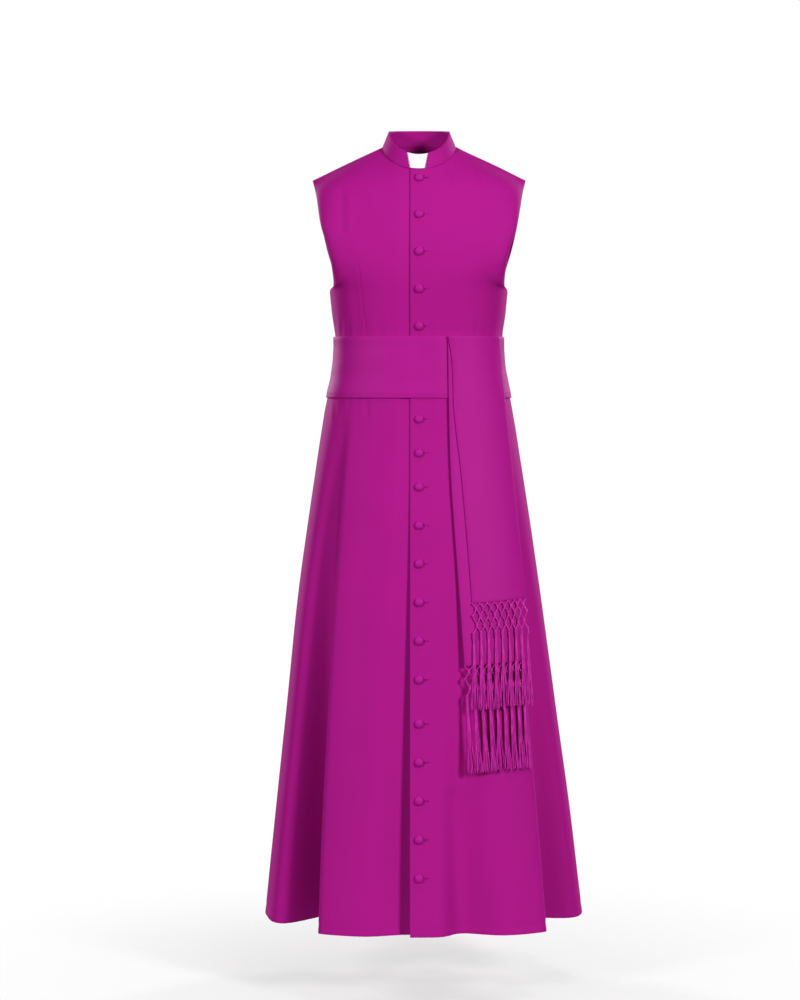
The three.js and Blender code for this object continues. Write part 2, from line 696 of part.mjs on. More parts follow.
// The left front's surface on the centre line, which its second column follows.
function centreFront(z) {
  const line = LEFT_FRONT.map((row) => row[1]);
  const above = line.findIndex((point) => point.z > z);
  const [low, high] = [line[above - 1], line[above]];
  const point = low.clone().lerp(high, (z - low.z) / (high.z - low.z));
  const up = high.clone().sub(low);
  return { point, normal: new THREE.Vector3(0, -up.z, up.y).normalize() };
}

function buttons() {
  const geometry = buttonGeometry();
  const made = [];
  for (const run of BUTTON_RUNS) {
    for (let k = 0; k < run.count; k++) {
      const { point, normal } = centreFront(run.firstZ - k * run.pitch);
      const mesh = piece(`button_${run.name}_${k + 1}`, geometry, ROBE_CLOTH);
      mesh.quaternion.setFromUnitVectors(new THREE.Vector3(0, 1, 0), normal);
      mesh.position.copy(point).addScaledVector(normal, BUTTON.standoff);
      made.push(mesh);
    }
  }
  return made;
}

// ---------------------------------------------------------------- the robe

const robe = new THREE.Group();
robe.add(panel("front_left", LEFT_FRONT), panel("front_right", RIGHT_FRONT), panel("back", BACK));
robe.add(collar(), collarTab(), sashBand());
robe.add(sashTail("sash_tail_inner", TAILS.inner), sashTail("sash_tail_outer", TAILS.outer));
robe.add(fringe("fringe_inner", TAILS.inner), fringe("fringe_outer", TAILS.outer));
robe.add(...buttons());

export default robe;
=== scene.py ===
# %% [markdown]
# # A sleeveless clergy robe with its waist sash
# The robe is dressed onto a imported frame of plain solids. Each cell models one piece the way its
# maker cuts and sews it: panels first, then the collar, the sash, its fringe, and the sewing.
# Lengths are in millimetres until a piece is made, +Z is up, the front faces -Y and the wearer's
# left is +X.

# %% Load the frame
import bisect
import math

import bmesh
import bpy
from mathutils import Matrix, Vector, noise


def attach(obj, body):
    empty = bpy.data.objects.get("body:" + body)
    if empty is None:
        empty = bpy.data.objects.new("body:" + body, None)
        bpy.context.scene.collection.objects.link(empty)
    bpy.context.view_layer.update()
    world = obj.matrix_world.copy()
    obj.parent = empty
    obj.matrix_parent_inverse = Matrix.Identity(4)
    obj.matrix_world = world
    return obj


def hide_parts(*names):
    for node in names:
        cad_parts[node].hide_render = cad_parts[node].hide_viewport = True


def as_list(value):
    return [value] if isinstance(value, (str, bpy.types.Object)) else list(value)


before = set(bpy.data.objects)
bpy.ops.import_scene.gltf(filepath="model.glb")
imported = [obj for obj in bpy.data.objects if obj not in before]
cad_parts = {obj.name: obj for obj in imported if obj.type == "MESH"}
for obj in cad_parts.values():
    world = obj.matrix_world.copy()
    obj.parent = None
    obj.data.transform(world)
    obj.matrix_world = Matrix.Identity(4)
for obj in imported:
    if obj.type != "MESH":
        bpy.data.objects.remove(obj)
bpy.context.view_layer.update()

MM = 0.001
noise.seed_set(1)  # noise vectors would otherwise be seeded by the clock

# %% [markdown]
# ## The worn form
# A hanging robe has no straight lines to measure, so its shape is kept as level sections: how far
# the cloth stands off the middle of the body at the sides, front and back. Between two sections
# a smooth curve finds the rest, and folds are valleys pressed in that deepen towards the hem.
# Every piece of cloth takes its place from this one form, so the layers stay in order.

# %% Level sections and folds
HEM_Z, SASH_BOTTOM_Z, SASH_TOP_Z, CHEST_GUIDE_Z, UNDERARM_Z = -1434, -465, -352, -310, -270
RINGS = [  # z, left, right, front, back, square (2 is an ellipse, and more is boxier)
    (HEM_Z, 306, 287, 220, 262, 2.5),
    (-1218, 280, 267, 200, 237, 2.45),
    (-1032, 255, 247, 182, 212, 2.4),
    (-845, 229, 227, 162, 187, 2.35),
    (-659, 201, 202, 141, 160, 2.3),
    (-537, 182, 183, 124, 138, 2.3),
    (SASH_BOTTOM_Z, 169, 170, 115, 121, 2.3),
    (-410, 158, 159, 110, 108, 2.3),
    (-355, 155, 156, 108, 103, 2.35),
    (CHEST_GUIDE_Z, 161, 162, 112, 110, 2.4),
    (UNDERARM_Z, 165, 166, 117, 120, 2.5),
    (-230, 170, 170, 119, 126, 2.5),
]
# A fold is a valley. Its angle is measured round from the front, and drift is added to it at its
# top. near and far are half widths in degrees, towards the front and away from it, and crest is
# the power that sharpens the near side. Then come the depth at the hem, the z of its top, and the
# direction that the valley opens to.
FOLDS = [
    (-51.5, -8, 4.2, 9, 2.5, 130, -470, -30),
    (62.5, 3, 5, 9, 3, 80, -560, 46),
    (24, 0, 9, 9, 2, 34, -760, 24),
    (112, 0, 8, 8, 2, 46, -760, 112),
    (143, 0, 9, 9, 2, 70, -600, 143),
    (178, 0, 9.5, 9.5, 2, 56, -690, 178),
    (211, 0, 8.5, 8.5, 2, 66, -640, 211),
    (250, 0, 8, 8, 2, 60, -640, 250),
]
FOLD_GROWTH = 1.35  # above 1, a fold opens faster near the hem


def clamp(value, low=0.0, high=1.0):
    return max(low, min(high, value))


def lerp(a, b, share):
    return a + (b - a) * share


def smoothstep(value, low, high):
    share = clamp((value - low) / (high - low))
    return share * share * (3 - 2 * share)


def row_at(table, z):
    """The values of a table's row at any z, on smooth curves through its rows."""
    heights = [row[0] for row in table]
    i = clamp(bisect.bisect_right(heights, z) - 1, 0, len(table) - 2)
    a, b = table[i], table[i + 1]
    before, after = table[max(i - 1, 0)], table[min(i + 2, len(table) - 1)]
    span = b[0] - a[0]
    t = clamp((z - a[0]) / span)
    values = []
    for k in range(1, len(a)):
        leaving = (b[k] - before[k]) / (b[0] - before[0]) * span
        arriving = (after[k] - a[k]) / (after[0] - a[0]) * span
        straight = b[k] - a[k]
        bend = (1 - t) * leaving - t * arriving - (1 - 2 * t) * straight
        values.append(a[k] + straight * t + t * (1 - t) * bend)
    return values


def half_turn(angle):
    """The same angle between -180 and 180 degrees."""
    return (angle + 180) % 360 - 180


def sin_cos(degrees):
    return math.sin(math.radians(degrees)), math.cos(math.radians(degrees))


def fold_shift(angle, z):
    """How far the folds press a section's point in, as a level vector."""
    shift = Vector((0, 0, 0))
    for angle_at_hem, drift, near, far, crest, deepest, top, opens in FOLDS:
        opened = (top - z) / (top - HEM_Z)
        if opened > 0:
            middle = angle_at_hem + drift * (1 - opened)
            away = half_turn(angle - middle)
            on_front = away * half_turn(-middle) > 0
            width, power = (near, crest) if on_front else (far, 2)
            depth = deepest * opened**FOLD_GROWTH * math.exp(-(abs(away / width) ** power))
            sin, cos = sin_cos(opens)
            shift += depth * Vector((-sin, cos, 0))
    return shift


def ring_curve(z, out=0, folded=True):
    """A level section as a function of the angle round from the front."""
    left, right, front, back, square = row_at(RINGS, z)

    def point(angle):
        sin, cos = sin_cos(angle)
        across = abs(sin) / ((right if sin < 0 else left) + out)
        along = abs(cos) / ((back if cos < 0 else front) + out)
        radius = (across**square + along**square) ** (-1 / square)
        place = Vector((radius * sin, -radius * cos, z))
        return place + fold_shift(angle, z) if folded else place

    return point


print("waist, front and side:", ring_curve(SASH_TOP_Z)(0)[:], ring_curve(SASH_TOP_Z)(90)[:])

# %% [markdown]
# ## From sections to rows of cloth
# Cloth doesn't stretch, so points are spread along each row by their distance over the cloth, as
# a tape measure would find them. Above the underarm a row runs from the centre line to the edge
# of the armhole, and the last one follows the neckline and the shoulder seam.

# %% Rows of a panel
ARC_SAMPLES = 150
FRONT_ROWS = [  # centre y, centre z, edge x, edge y, edge z, square, lift of its middle
    (-119, -246, 157, -54, -257, 2.6, 0),
    (-119, -220, 159, -82, -227, 2.6, 0),
    (-117, -185, 167, -88, -190, 2.5, 0),
    (-109, -145, 179, -75, -150, 2.3, 2),
    (-98, -108, 186, -50, -113, 2.1, 6),
    (-85, -75, 191, -24, -84, 1.7, 12),
]
BACK_ROWS = [
    (124, -246, 158.5, 50, -257, 2.5, 0),
    (127, -214, 163, 74, -227, 2.5, 0),
    (127, -172, 174, 80, -190, 2.5, 0),
    (121, -127, 183, 70, -150, 2.4, 4),
    (109, -82, 189, 50, -113, 2.1, 6),
    (91, -38, 193, 26, -84, 1.7, 12),
]
NECKLINE = dict(side=68, seam_y=4, front_y=-72, back_y=70, front_z=-46, side_z=0, back_z=4)
COLLAR_TOP = dict(side=56, seam_y=2, front_y=-62, back_y=60, front_z=-17, side_z=29, back_z=35)
SHOULDER_TIP = Vector((198, 4, -62))


def spread(count, low, high):
    return [lerp(low, high, i / count) for i in range(count + 1)]


def lengths_to(points):
    """How far along a row of points each one lies."""
    reached = [0]
    for a, b in zip(points, points[1:]):
        reached.append(reached[-1] + (b - a).length)
    return reached


def walk(curve, distances):
    """Points at given distances along a curve that runs from 0 to 1."""
    samples = [curve(t) for t in spread(ARC_SAMPLES, 0, 1)]
    reached = lengths_to(samples)
    if callable(distances):
        distances = distances(reached[-1])
    points = []
    for distance in distances:
        i = clamp(bisect.bisect_left(reached, distance), 1, ARC_SAMPLES)
        share = (min(distance, reached[-1]) - reached[i - 1]) / (reached[i] - reached[i - 1])
        points.append(samples[i - 1].lerp(samples[i], share))
    return points


def oval_point(oval, angle):
    """A point of the neckline or of the collar's top, at an angle from the front."""
    sin, cos = sin_cos(angle)
    end = "front" if cos > 0 else "back"
    return Vector((
        oval["side"] * sin,
        lerp(oval["seam_y"], oval[end + "_y"], abs(cos)),
        lerp(oval["side_z"], oval[end + "_z"], abs(cos)),
    ))


def bodice_curve(row, side):
    centre_y, centre_z, edge_x, edge_y, edge_z, square, lift = row

    def point(t):
        angle = math.radians(90 * t)
        return Vector((
            side * edge_x * math.sin(angle) ** (2 / square),
            lerp(edge_y, centre_y, max(math.cos(angle), 0) ** (2 / square)),
            lerp(centre_z, edge_z, t) + lift * math.sin(math.pi * t) ** 2,
        ))

    return point


def smooth_through(points, t):
    """A point of the centripetal Catmull-Rom curve through all the points, at t from 0 to 1."""
    place = t * (len(points) - 1)
    i = min(int(place), len(points) - 2)
    t = place - i
    p1, p2 = points[i], points[i + 1]
    p0 = points[i - 1] if i else p1 * 2 - p2
    p3 = points[i + 2] if i + 2 < len(points) else p2 * 2 - p1
    d0, d1, d2 = (max((b - a).length, 1e-6) ** 0.5 for a, b in ((p0, p1), (p1, p2), (p2, p3)))
    leaving = ((p1 - p0) / d0 - (p2 - p0) / (d0 + d1) + (p2 - p1) / d1) * d1
    arriving = ((p2 - p1) / d1 - (p3 - p1) / (d1 + d2) + (p3 - p2) / d2) * d1
    square = p2 * 3 - p1 * 3 - leaving * 2 - arriving
    cube = p1 * 2 - p2 * 2 + leaving + arriving
    return p1 + leaving * t + square * t**2 + cube * t**3


# How finely the panels are divided, in rows from the hem up and in columns from the centre out.
SKIRT_STEPS, SASH_STEPS, CHEST_STEPS, BODICE_STEPS = 132, 12, 10, 66
COLUMNS, NECK_COLUMNS = 75, 30
# Where the turn from the level rows to the bodice's is evened out.
EASE_START_Z, EASE_FULL_Z, EASE_FADE_Z, EASE_TOP_Z = -340, -312, -215, -165
EASE_PASSES, EASE_FULL_X, EASE_END_X = 60, 118, 152


def eased(grid):
    """Evens out the turn from the level rows to the bodice's, away from the sides and the sash."""
    first, last = (sum(row[0].z < z for row in grid) for z in (SASH_TOP_Z, EASE_TOP_Z))
    for _ in range(EASE_PASSES):
        below, here = grid[first - 1], grid[first]
        for i in range(first, last):
            above = grid[i + 1]
            moved = []
            for j, point in enumerate(here):
                low = smoothstep(point.z, EASE_START_Z, EASE_FULL_Z)
                high = 1 - smoothstep(point.z, EASE_FADE_Z, EASE_TOP_Z)
                inside = 1 - smoothstep(abs(point.x), EASE_FULL_X, EASE_END_X)
                middle = (below[j] + above[j]) / 2
                moved.append(point.lerp(middle, 0.5 * low * high * inside))
            grid[i] = moved
            below, here = here, above
    return grid


def half_panel(face, side, beside):
    """Rows of points from the hem up. face is -1 for a front and 1 for the back, side is 1 on the
    wearer's left. beside lists distances next to the centre line, the ones across it below 0."""
    over = [-d for d in beside if d < 0]
    own = [d for d in beside if d >= 0]
    centre = 0 if face < 0 else 180

    def row(curve_on, columns=COLUMNS):
        def places(length):
            return own[:-1] + spread(columns, own[-1], length)

        return walk(curve_on(-side), over) + walk(curve_on(side), places)

    def ring_row(z):
        ring = ring_curve(z)
        return row(lambda s: lambda t: ring(centre - s * face * 90 * t))

    def neck_on(s):
        return lambda t: oval_point(NECKLINE, centre - s * face * 90 * t)

    levels = (
        spread(SKIRT_STEPS, HEM_Z, SASH_BOTTOM_Z)
        + spread(SASH_STEPS, SASH_BOTTOM_Z, SASH_TOP_Z)[1:]
        + spread(CHEST_STEPS, SASH_TOP_Z, UNDERARM_Z)[1:]
    )
    rows = [ring_row(z) for z in levels]
    neck_point = oval_point(NECKLINE, side * 90)
    tip = Vector((side * SHOULDER_TIP.x, SHOULDER_TIP.y, SHOULDER_TIP.z))
    shoulder = [neck_point.lerp(tip, t) for t in spread(COLUMNS - NECK_COLUMNS, 0, 1)[1:]]
    guides = [
        ring_row(CHEST_GUIDE_Z),
        rows[-1],
        *(row(lambda s, r=r: bodice_curve(r, s)) for r in (FRONT_ROWS if face < 0 else BACK_ROWS)),
        row(neck_on, NECK_COLUMNS) + shoulder,
    ]
    columns = list(zip(*guides))
    for t in spread(BODICE_STEPS, 1 / (len(guides) - 1), 1)[1:]:
        rows.append([smooth_through(column, t) for column in columns])
    return eased(rows)


# %% [markdown]
# The left front laps over the right one at the buttons, so the right front steps inwards where it
# passes under. From the hip down the layers stand more and more apart, as nothing presses them
# together there.

# %% Grids of the three panels
LAP, UNDERLAP = 16, 24  # along the cloth from the centre front
LAP_COLUMNS = [-LAP, -12, -8, -4, 0, 6, 12, 18, 24]
UNDERLAP_COLUMNS = [-UNDERLAP, -18, -12, -6, *range(0, 88, 4)]
CENTRE_COLUMN = LAP_COLUMNS.index(0)  # from the front edge, on both fronts
LAP_SLOPE_END, LAP_HEM_SLOPE_END = 48, 106  # where the lower layer has risen to the surface again
CLOTH, EDGE = 2, 0.6  # one layer of suiting, and how much its turned edge is rounded
LAP_GAP, LAP_GAPE, LAP_GAPE_TOP_Z = 0.8, 22, -560  # the gape is at the hem
SEAM_GAP, PANEL_GAP = 0.3, 0.04  # at the collar and the fringe, and between the panels


def part_seams(grid, face):
    """Moves the side and shoulder edges apart by half of the panels' gap each."""
    for i, row in enumerate(grid):
        for j in (0, len(row) - 1):
            if abs(row[j].x) > LAP_SLOPE_END:
                row[j].y += face * PANEL_GAP / 2
        if i == len(grid) - 1:
            for point in row[1:-1]:
                if abs(point.x) > NECKLINE["side"] - 0.001:  # the seam and its end at the neck
                    point.y += face * PANEL_GAP / 2
    return grid


left_front = part_seams(half_panel(-1, 1, LAP_COLUMNS), -1)
right_front = half_panel(-1, -1, UNDERLAP_COLUMNS)
for row in right_front:
    row.reverse()
    gaping = smoothstep(LAP_GAPE_TOP_Z - row[0].z, 0, LAP_GAPE_TOP_Z - HEM_Z)
    slope_end = lerp(LAP_SLOPE_END, LAP_HEM_SLOPE_END, gaping)
    for point in row:
        sunk = 1 - smoothstep(-point.x, LAP, slope_end)
        point.y += sunk * (CLOTH + LAP_GAP + LAP_GAPE * gaping)
part_seams(right_front, -1)
back_halves = half_panel(1, 1, [0]), half_panel(1, -1, [0])
back = part_seams([left[::-1] + right[1:] for left, right in zip(*back_halves)], 1)
print("panel grids:", [f"{len(g)} x {len(g[0])}" for g in (left_front, right_front, back)])

# %% [markdown]
# ## Helpers for cloth
# A sheet is a plane grid whose points are laid on the form. Its UV map holds real distances over
# the cloth in metres, so a weave drawn on it keeps the size of its threads. Creases are pressed
# in along the surface's own direction, and a Solidify modifier gives the wall its thickness.

# %% Sheets of cloth


def laid_sheet(grid, zero=0, closed=False):
    """A bmesh through a grid of points, with distances from column zero and from row 0 as UV,
    and its vertices by row and column."""
    rows, columns = len(grid), len(grid[0])
    up = lengths_to([row[zero] for row in grid])
    bm = bmesh.new()
    bmesh.ops.create_grid(bm, x_segments=columns - 1, y_segments=rows - 1, size=1)
    cut = {}
    for vertex in bm.verts:
        i = round((vertex.co.y + 1) / 2 * (rows - 1))
        j = round((vertex.co.x + 1) / 2 * (columns - 1))
        cut[vertex] = (i, j)
    across = []
    for row in grid:
        reached = lengths_to(row)
        across.append([value - reached[zero] for value in reached])
    uv = bm.loops.layers.uv.new("cut")
    for face in bm.faces:
        for loop in face.loops:
            i, j = cut[loop.vert]
            loop[uv].uv = (across[i][j] * MM, up[i] * MM)
    places = {}
    for vertex, (i, j) in cut.items():
        vertex.co = grid[i][j] * MM
        places[i, j] = vertex
    if closed:
        doubles = {places[i, columns - 1]: places[i, 0] for i in range(rows)}
        bmesh.ops.weld_verts(bm, targetmap=doubles)
        for i in range(rows):
            places[i, columns - 1] = places[i, 0]
    bm.normal_update()
    return bm, places


def press(bm, relief):
    """Moves each point out along the surface by relief(point in millimetres)."""
    moved = [(v, v.normal * relief(v.co / MM) * MM) for v in bm.verts]
    for vertex, shift in moved:
        vertex.co += shift
    bm.normal_update()


STITCH, STITCH_GAP, STITCH_RISE, STITCH_DIP = 3.2, 1.6, 0.12, 0.2


def stitch_row(places, cells):
    """Dashes of thread through some vertices of a sheet. Each one rises out of the cloth, runs
    over it and dips in again."""
    line = [(places[cell].co / MM, places[cell].normal.copy()) for cell in cells]
    reached = lengths_to([place for place, _ in line])

    def at(distance, height):
        i = clamp(bisect.bisect_left(reached, distance), 1, len(line) - 1)
        share = (distance - reached[i - 1]) / (reached[i] - reached[i - 1])
        place, outward = (a.lerp(b, share) for a, b in zip(line[i - 1], line[i]))
        return place + outward * height

    start, dashes = STITCH_GAP, []
    while start + STITCH < reached[-1]:
        middle, end = start + STITCH / 2, start + STITCH
        dashes.append([at(start, -STITCH_DIP), at(middle, STITCH_RISE), at(end, -STITCH_DIP)])
        start += STITCH + STITCH_GAP
    return dashes


def new_object(name, data):
    thing = bpy.data.objects.new(name, data)
    bpy.context.collection.objects.link(thing)
    return thing


def mesh_object(bm, name, material):
    mesh = bpy.data.meshes.new(name)
    bm.to_mesh(mesh)
    bm.free()
    mesh.shade_smooth()
    mesh.materials.append(material)
    return new_object(name, mesh)


def finish_piece(bm, name, material, nodes=(), thickness=0, edge=0):
    """Makes the object, gives a sheet its wall, and hides the frame's parts that the piece takes
    the place of.
    """
    piece = mesh_object(bm, name, material)
    if thickness:
        wall = piece.modifiers.new("wall", "SOLIDIFY")
        wall.thickness = thickness * MM
        wall.offset = -1
    if edge:
        rounded = piece.modifiers.new("turned edge", "BEVEL")
        rounded.width = edge * MM
        rounded.segments = 2
        rounded.limit_method = "ANGLE"
        rounded.angle_limit = math.radians(60)
    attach(piece, "root")
    if nodes:
        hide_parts(*nodes)
    return piece


# %% [markdown]
# ## Materials
# The robe is a plain polyester-wool suiting in a two-and-one twill: matt, smooth, with a soft
# bloom of fine fibres that lightens it where it turns away. The sash is a closer satin-backed
# cloth with a little more shine, and the fringe is a twisted rayon yarn. Real lines of twill are
# about half a millimetre apart, too fine to show at this distance, so they are drawn coarser.

# %% Materials


def linear(code):
    """An sRGB hex colour as the linear one that a shader wants."""
    channels = (int(code[i : i + 2], 16) / 255 for i in (1, 3, 5))
    return (*(c / 12.92 if c <= 0.04045 else ((c + 0.055) / 1.055) ** 2.4 for c in channels), 1)


def add_node(tree, kind, settings=None, inputs=None, links=None):
    """Adds a node, sets its properties and input values, and links inputs to (node, output)."""
    node = tree.nodes.new(kind)
    for name, value in (settings or {}).items():
        setattr(node, name, value)
    for name, value in (inputs or {}).items():
        node.inputs[name].default_value = value
    for name, (source, output) in (links or {}).items():
        tree.links.new(source.outputs[output], node.inputs[name])
    return node


def finish_material(name, colour, **sockets):
    """A material with one Principled shader, and the shader and its tree to draw patterns on."""
    material = bpy.data.materials.new(name)
    material.use_nodes = True
    shader = material.node_tree.nodes["Principled BSDF"]
    shader.inputs["Base Color"].default_value = linear(colour)
    for socket, value in sockets.items():
        shader.inputs[socket.replace("_", " ")].default_value = value
    return material, shader, material.node_tree


WAVE_TURN = math.tau / 20  # a Wave Texture of this scale has one line to each metre


FIBRE = dict(Specular_IOR_Level=0.12, Sheen_Roughness=0.5, Sheen_Tint=linear("#e040b8"))


def woven(name, colour, roughness, sheen, lighter, darker, thread, slope, depth):
    """A weave's diagonal lines as fine relief, and slight unevenness of its dye as colour."""
    cloth, shader, tree = finish_material(
        name, colour, Roughness=roughness, Sheen_Weight=sheen, **FIBRE
    )
    place = add_node(tree, "ShaderNodeUVMap", {"uv_map": "cut"})
    turned = add_node(
        tree, "ShaderNodeMapping", inputs={"Rotation": (0, 0, math.radians(slope))},
        links={"Vector": (place, "UV")},
    )
    lines = add_node(
        tree, "ShaderNodeTexWave",
        {"wave_type": "BANDS", "bands_direction": "X", "wave_profile": "SIN"},
        {"Scale": WAVE_TURN / (thread * MM), "Distortion": 0.4, "Detail": 1},
        {"Vector": (turned, "Vector")},
    )
    relief = add_node(
        tree, "ShaderNodeBump", inputs={"Strength": 0.35, "Distance": depth * MM},
        links={"Height": (lines, "Fac")},
    )
    tree.links.new(relief.outputs["Normal"], shader.inputs["Normal"])
    dye = add_node(
        tree, "ShaderNodeTexNoise", inputs={"Scale": 6.0, "Detail": 3.0},
        links={"Vector": (place, "UV")},
    )
    tint = add_node(
        tree, "ShaderNodeMix", {"data_type": "RGBA"},
        {"A": linear(darker), "B": linear(lighter)}, {"Factor": (dye, "Fac")},
    )
    tree.links.new(tint.outputs["Result"], shader.inputs["Base Color"])
    return cloth


suiting = woven("purple twill suiting", "#b01089", 0.75, 0.06, "#b4118c", "#aa0f85", 1.4, 63, 0.12)
sash_cloth = woven("purple sash cloth", "#b41290", 0.62, 0.08, "#b61290", "#ac1088", 1.2, 45, 0.08)
# The buttons are covered in the robe's own suiting. Here it is painted a lighter colour than on the
# panels, as a highlight on the domes.
button_cloth_painted_lighter = woven(
    "suiting drawn tight over a button", "#ba1698", 0.6, 0.12, "#bc1898", "#b01290", 1.2, 63, 0.06
)

# Random lighter and darker streaks along the cords are painted highlight and shade, standing in for
# the light and shadow between the plies.
yarn, shader, tree = finish_material(
    "twisted rayon yarn", "#c61ea6", Roughness=0.45, Sheen_Weight=0.08,
    Sheen_Roughness=0.5, Sheen_Tint=linear("#f050c8"), Specular_IOR_Level=0.2,
)
place = add_node(tree, "ShaderNodeTexCoord")
stretched = add_node(
    tree, "ShaderNodeMapping", inputs={"Scale": (1, 1, 0.06)}, links={"Vector": (place, "Object")}
)
ply_shade_noise = add_node(
    tree, "ShaderNodeTexNoise", inputs={"Scale": 420.0, "Detail": 2.0, "Roughness": 0.6},
    links={"Vector": (stretched, "Vector")},
)
painted_ply_shading = add_node(tree, "ShaderNodeValToRGB", links={"Fac": (ply_shade_noise, "Fac")})
# The darker stop is painted shade between the plies, and the lighter one a painted highlight on
# them.
PAINTED_PLY_SHADES = [(0.34, "#b01290"), (0.62, "#e42cbc")]
for stop, (position, colour) in zip(painted_ply_shading.color_ramp.elements, PAINTED_PLY_SHADES):
    stop.position = position
    stop.color = linear(colour)
tree.links.new(painted_ply_shading.outputs["Color"], shader.inputs["Base Color"])

# Spun polyester thread is a shade darker than the cloth, so that it reads as a fine line.
thread, shader, tree = finish_material("sewing thread", "#9c107a", Roughness=0.6, **FIBRE)
dye = add_node(tree, "ShaderNodeTexNoise", inputs={"Scale": 300.0})
tone = add_node(
    tree, "ShaderNodeMix", {"data_type": "RGBA"},
    {"A": linear("#900e70"), "B": linear("#aa1288")}, {"Factor": (dye, "Fac")},
)
tree.links.new(tone.outputs["Result"], shader.inputs["Base Color"])

# The tab is cut from a rolled plastic sheet, whose faint haze makes its gloss uneven.
tab_plastic, shader, tree = finish_material("white collar tab plastic", "#f4f6fa", Roughness=0.4)
haze = add_node(tree, "ShaderNodeTexNoise", inputs={"Scale": 60.0, "Detail": 4.0})
wear = add_node(
    tree, "ShaderNodeMapRange", {}, {"To Min": 0.34, "To Max": 0.46}, {"Value": (haze, "Fac")}
)
tree.links.new(wear.outputs["Result"], shader.inputs["Roughness"])
print("materials:", suiting.name, sash_cloth.name, button_cloth_painted_lighter.name, yarn.name)

# %% [markdown]
# ## Creases
# A worn robe is never quite smooth: cloth drags from the neck and the arms, darts leave a fine
# groove, and small ripples stand above the tight sash. Each one is a soft stroke pressed into
# the panel, and slow noise keeps the plain areas from looking like sheet metal.

# %% Soft strokes and ripples
FRONT_STROKES = [  # x and z of both ends, half width, depth (below 0 it is a ridge)
    ((-142, -92), (-140, -156), 9, 1.8), ((-128, -100), (-127, -150), 8, -0.8),
    ((122, -66), (124, -120), 9, 1.4), ((48, -38), (56, -76), 6, 1.3),
    ((-111, -222), (-98, -348), 1.9, 0.8), ((-121, -240), (-108, -345), 10, 1.0),
    ((113, -222), (129, -308), 1.9, 0.5), ((30, -30), (21, -70), 6, 0.8),
    ((62, -1190), (70, -1440), 17, 2.6), ((-92, -700), (-118, -1100), 20, 1.6),
]
NOISE_SIZE, NOISE_STRETCH, NOISE_DEPTH = 95, 0.35, 1.4  # slow waves, stretched down the cloth


def bell(away, width):
    """1 in the middle, and nothing from about two widths away."""
    return math.exp(-((away / width) ** 2))


def stroke_depth(strokes, x, z):
    depth = 0
    for (x0, z0), (x1, z1), width, deep in strokes:
        along = (x - x0) * (x1 - x0) + (z - z0) * (z1 - z0)
        share = clamp(along / ((x1 - x0) ** 2 + (z1 - z0) ** 2))
        away = math.hypot(x - lerp(x0, x1, share), z - lerp(z0, z1, share))
        if away < 3 * width:
            depth += deep * bell(away, width)
    return depth


def slow_waves(point, seed):
    place = Vector((point.x, point.y, point.z * NOISE_STRETCH + seed)) / NOISE_SIZE
    return NOISE_DEPTH * noise.noise(place)


RIPPLES = [(SASH_TOP_Z, 10, 20), (SASH_BOTTOM_Z, -18, 24)]  # edge, middle above it, half height
RIPPLE_PITCH, RIPPLE_DEPTH = 17, 0.7
WANDER, WANDER_SIZE, PATCH_WIDTH, PATCH_HEIGHT = 3, 23, 26, 60  # how pitch and strength vary


def gathered_ripples(x, z):
    reach = sum(bell(z - edge - up, half) for edge, up, half in RIPPLES)
    patch = noise.noise(Vector((x / PATCH_WIDTH, 0, z / PATCH_HEIGHT)))
    wave = math.sin(math.tau * x / RIPPLE_PITCH + WANDER * math.sin(x / WANDER_SIZE))
    return RIPPLE_DEPTH * reach * clamp(0.45 + 1.2 * patch) * wave


HEM_STITCH, HEM_GROOVE, GROOVE_WIDTH = 15, 0.7, 2.2  # the stitches' height, and their groove
PUCKER_DEPTH, PUCKER_SIZE, PUCKER_REACH = 0.35, 3.1, 20


def hem_relief(point):
    """The turned hem: a groove at its stitches, and small puckers between them and the edge."""
    up = point.z - HEM_Z
    if up > 4 * HEM_STITCH:
        return 0
    pucker = PUCKER_DEPTH * math.sin(point.x / PUCKER_SIZE + 1.7 * math.sin(point.y / 17))
    groove = HEM_GROOVE * bell(up - HEM_STITCH, GROOVE_WIDTH)
    return -groove + pucker * math.exp(-up / PUCKER_REACH)


HEM_LIFT, HEM_LIFT_TOP = 9, 260  # how much higher the hem hangs at the sides, and up to where
LIFT_FULL_Y, LIFT_END_Y = 40, 150  # from the side seams


def lift_hem(bm):
    """The side seams hang shorter than the middles, because the sash takes some cloth up there."""
    for vertex in bm.verts:
        _, y, z = vertex.co / MM
        at_side = 1 - smoothstep(abs(y), LIFT_FULL_Y, LIFT_END_Y)
        vertex.co.z += HEM_LIFT * MM * at_side * (1 - smoothstep(z - HEM_Z, 0, HEM_LIFT_TOP))
    bm.normal_update()


BESIDE_TAIL = [  # z, then x of the tail's near edge and how far the skirt sinks beside it
    (-1200, 100, 0), (-1130, 94, 2.5), (-946, 81, 4.5),
    (-833, 73, 4.2), (-616, 57, 2.4), (-480, 53, 0),
]
SINK_NEAR, SINK_FAR = 19, 12  # half widths of that valley, towards the centre front and away


def sunk_beside_tail(x, z):
    edge, depth = row_at(BESIDE_TAIL, z)
    away = x - edge
    return max(depth, 0) * bell(away, SINK_NEAR if away < 0 else SINK_FAR)


BACK_STROKES = [
    ((-132, -100), (-128, -170), 10, 1.6), ((130, -96), (127, -175), 10, 1.8),
    ((-30, -30), (-52, -90), 9, 1.0), ((34, -28), (60, -96), 9, 0.9),
    ((-96, -215), (-86, -346), 1.7, 1.1), ((96, -215), (86, -346), 1.7, 1.1),
]


def panel_relief(strokes, seed, point):
    waves = slow_waves(point, seed) - stroke_depth(strokes, point.x, point.z)
    if strokes is FRONT_STROKES:
        waves -= sunk_beside_tail(point.x, point.z)
    return waves + gathered_ripples(point.x, point.z) + hem_relief(point)


# %% [markdown]
# Each panel is laid on its grid, then creased, and then lifted at the sides of its hem. The
# stitches come last, because their places are read from the finished surface.

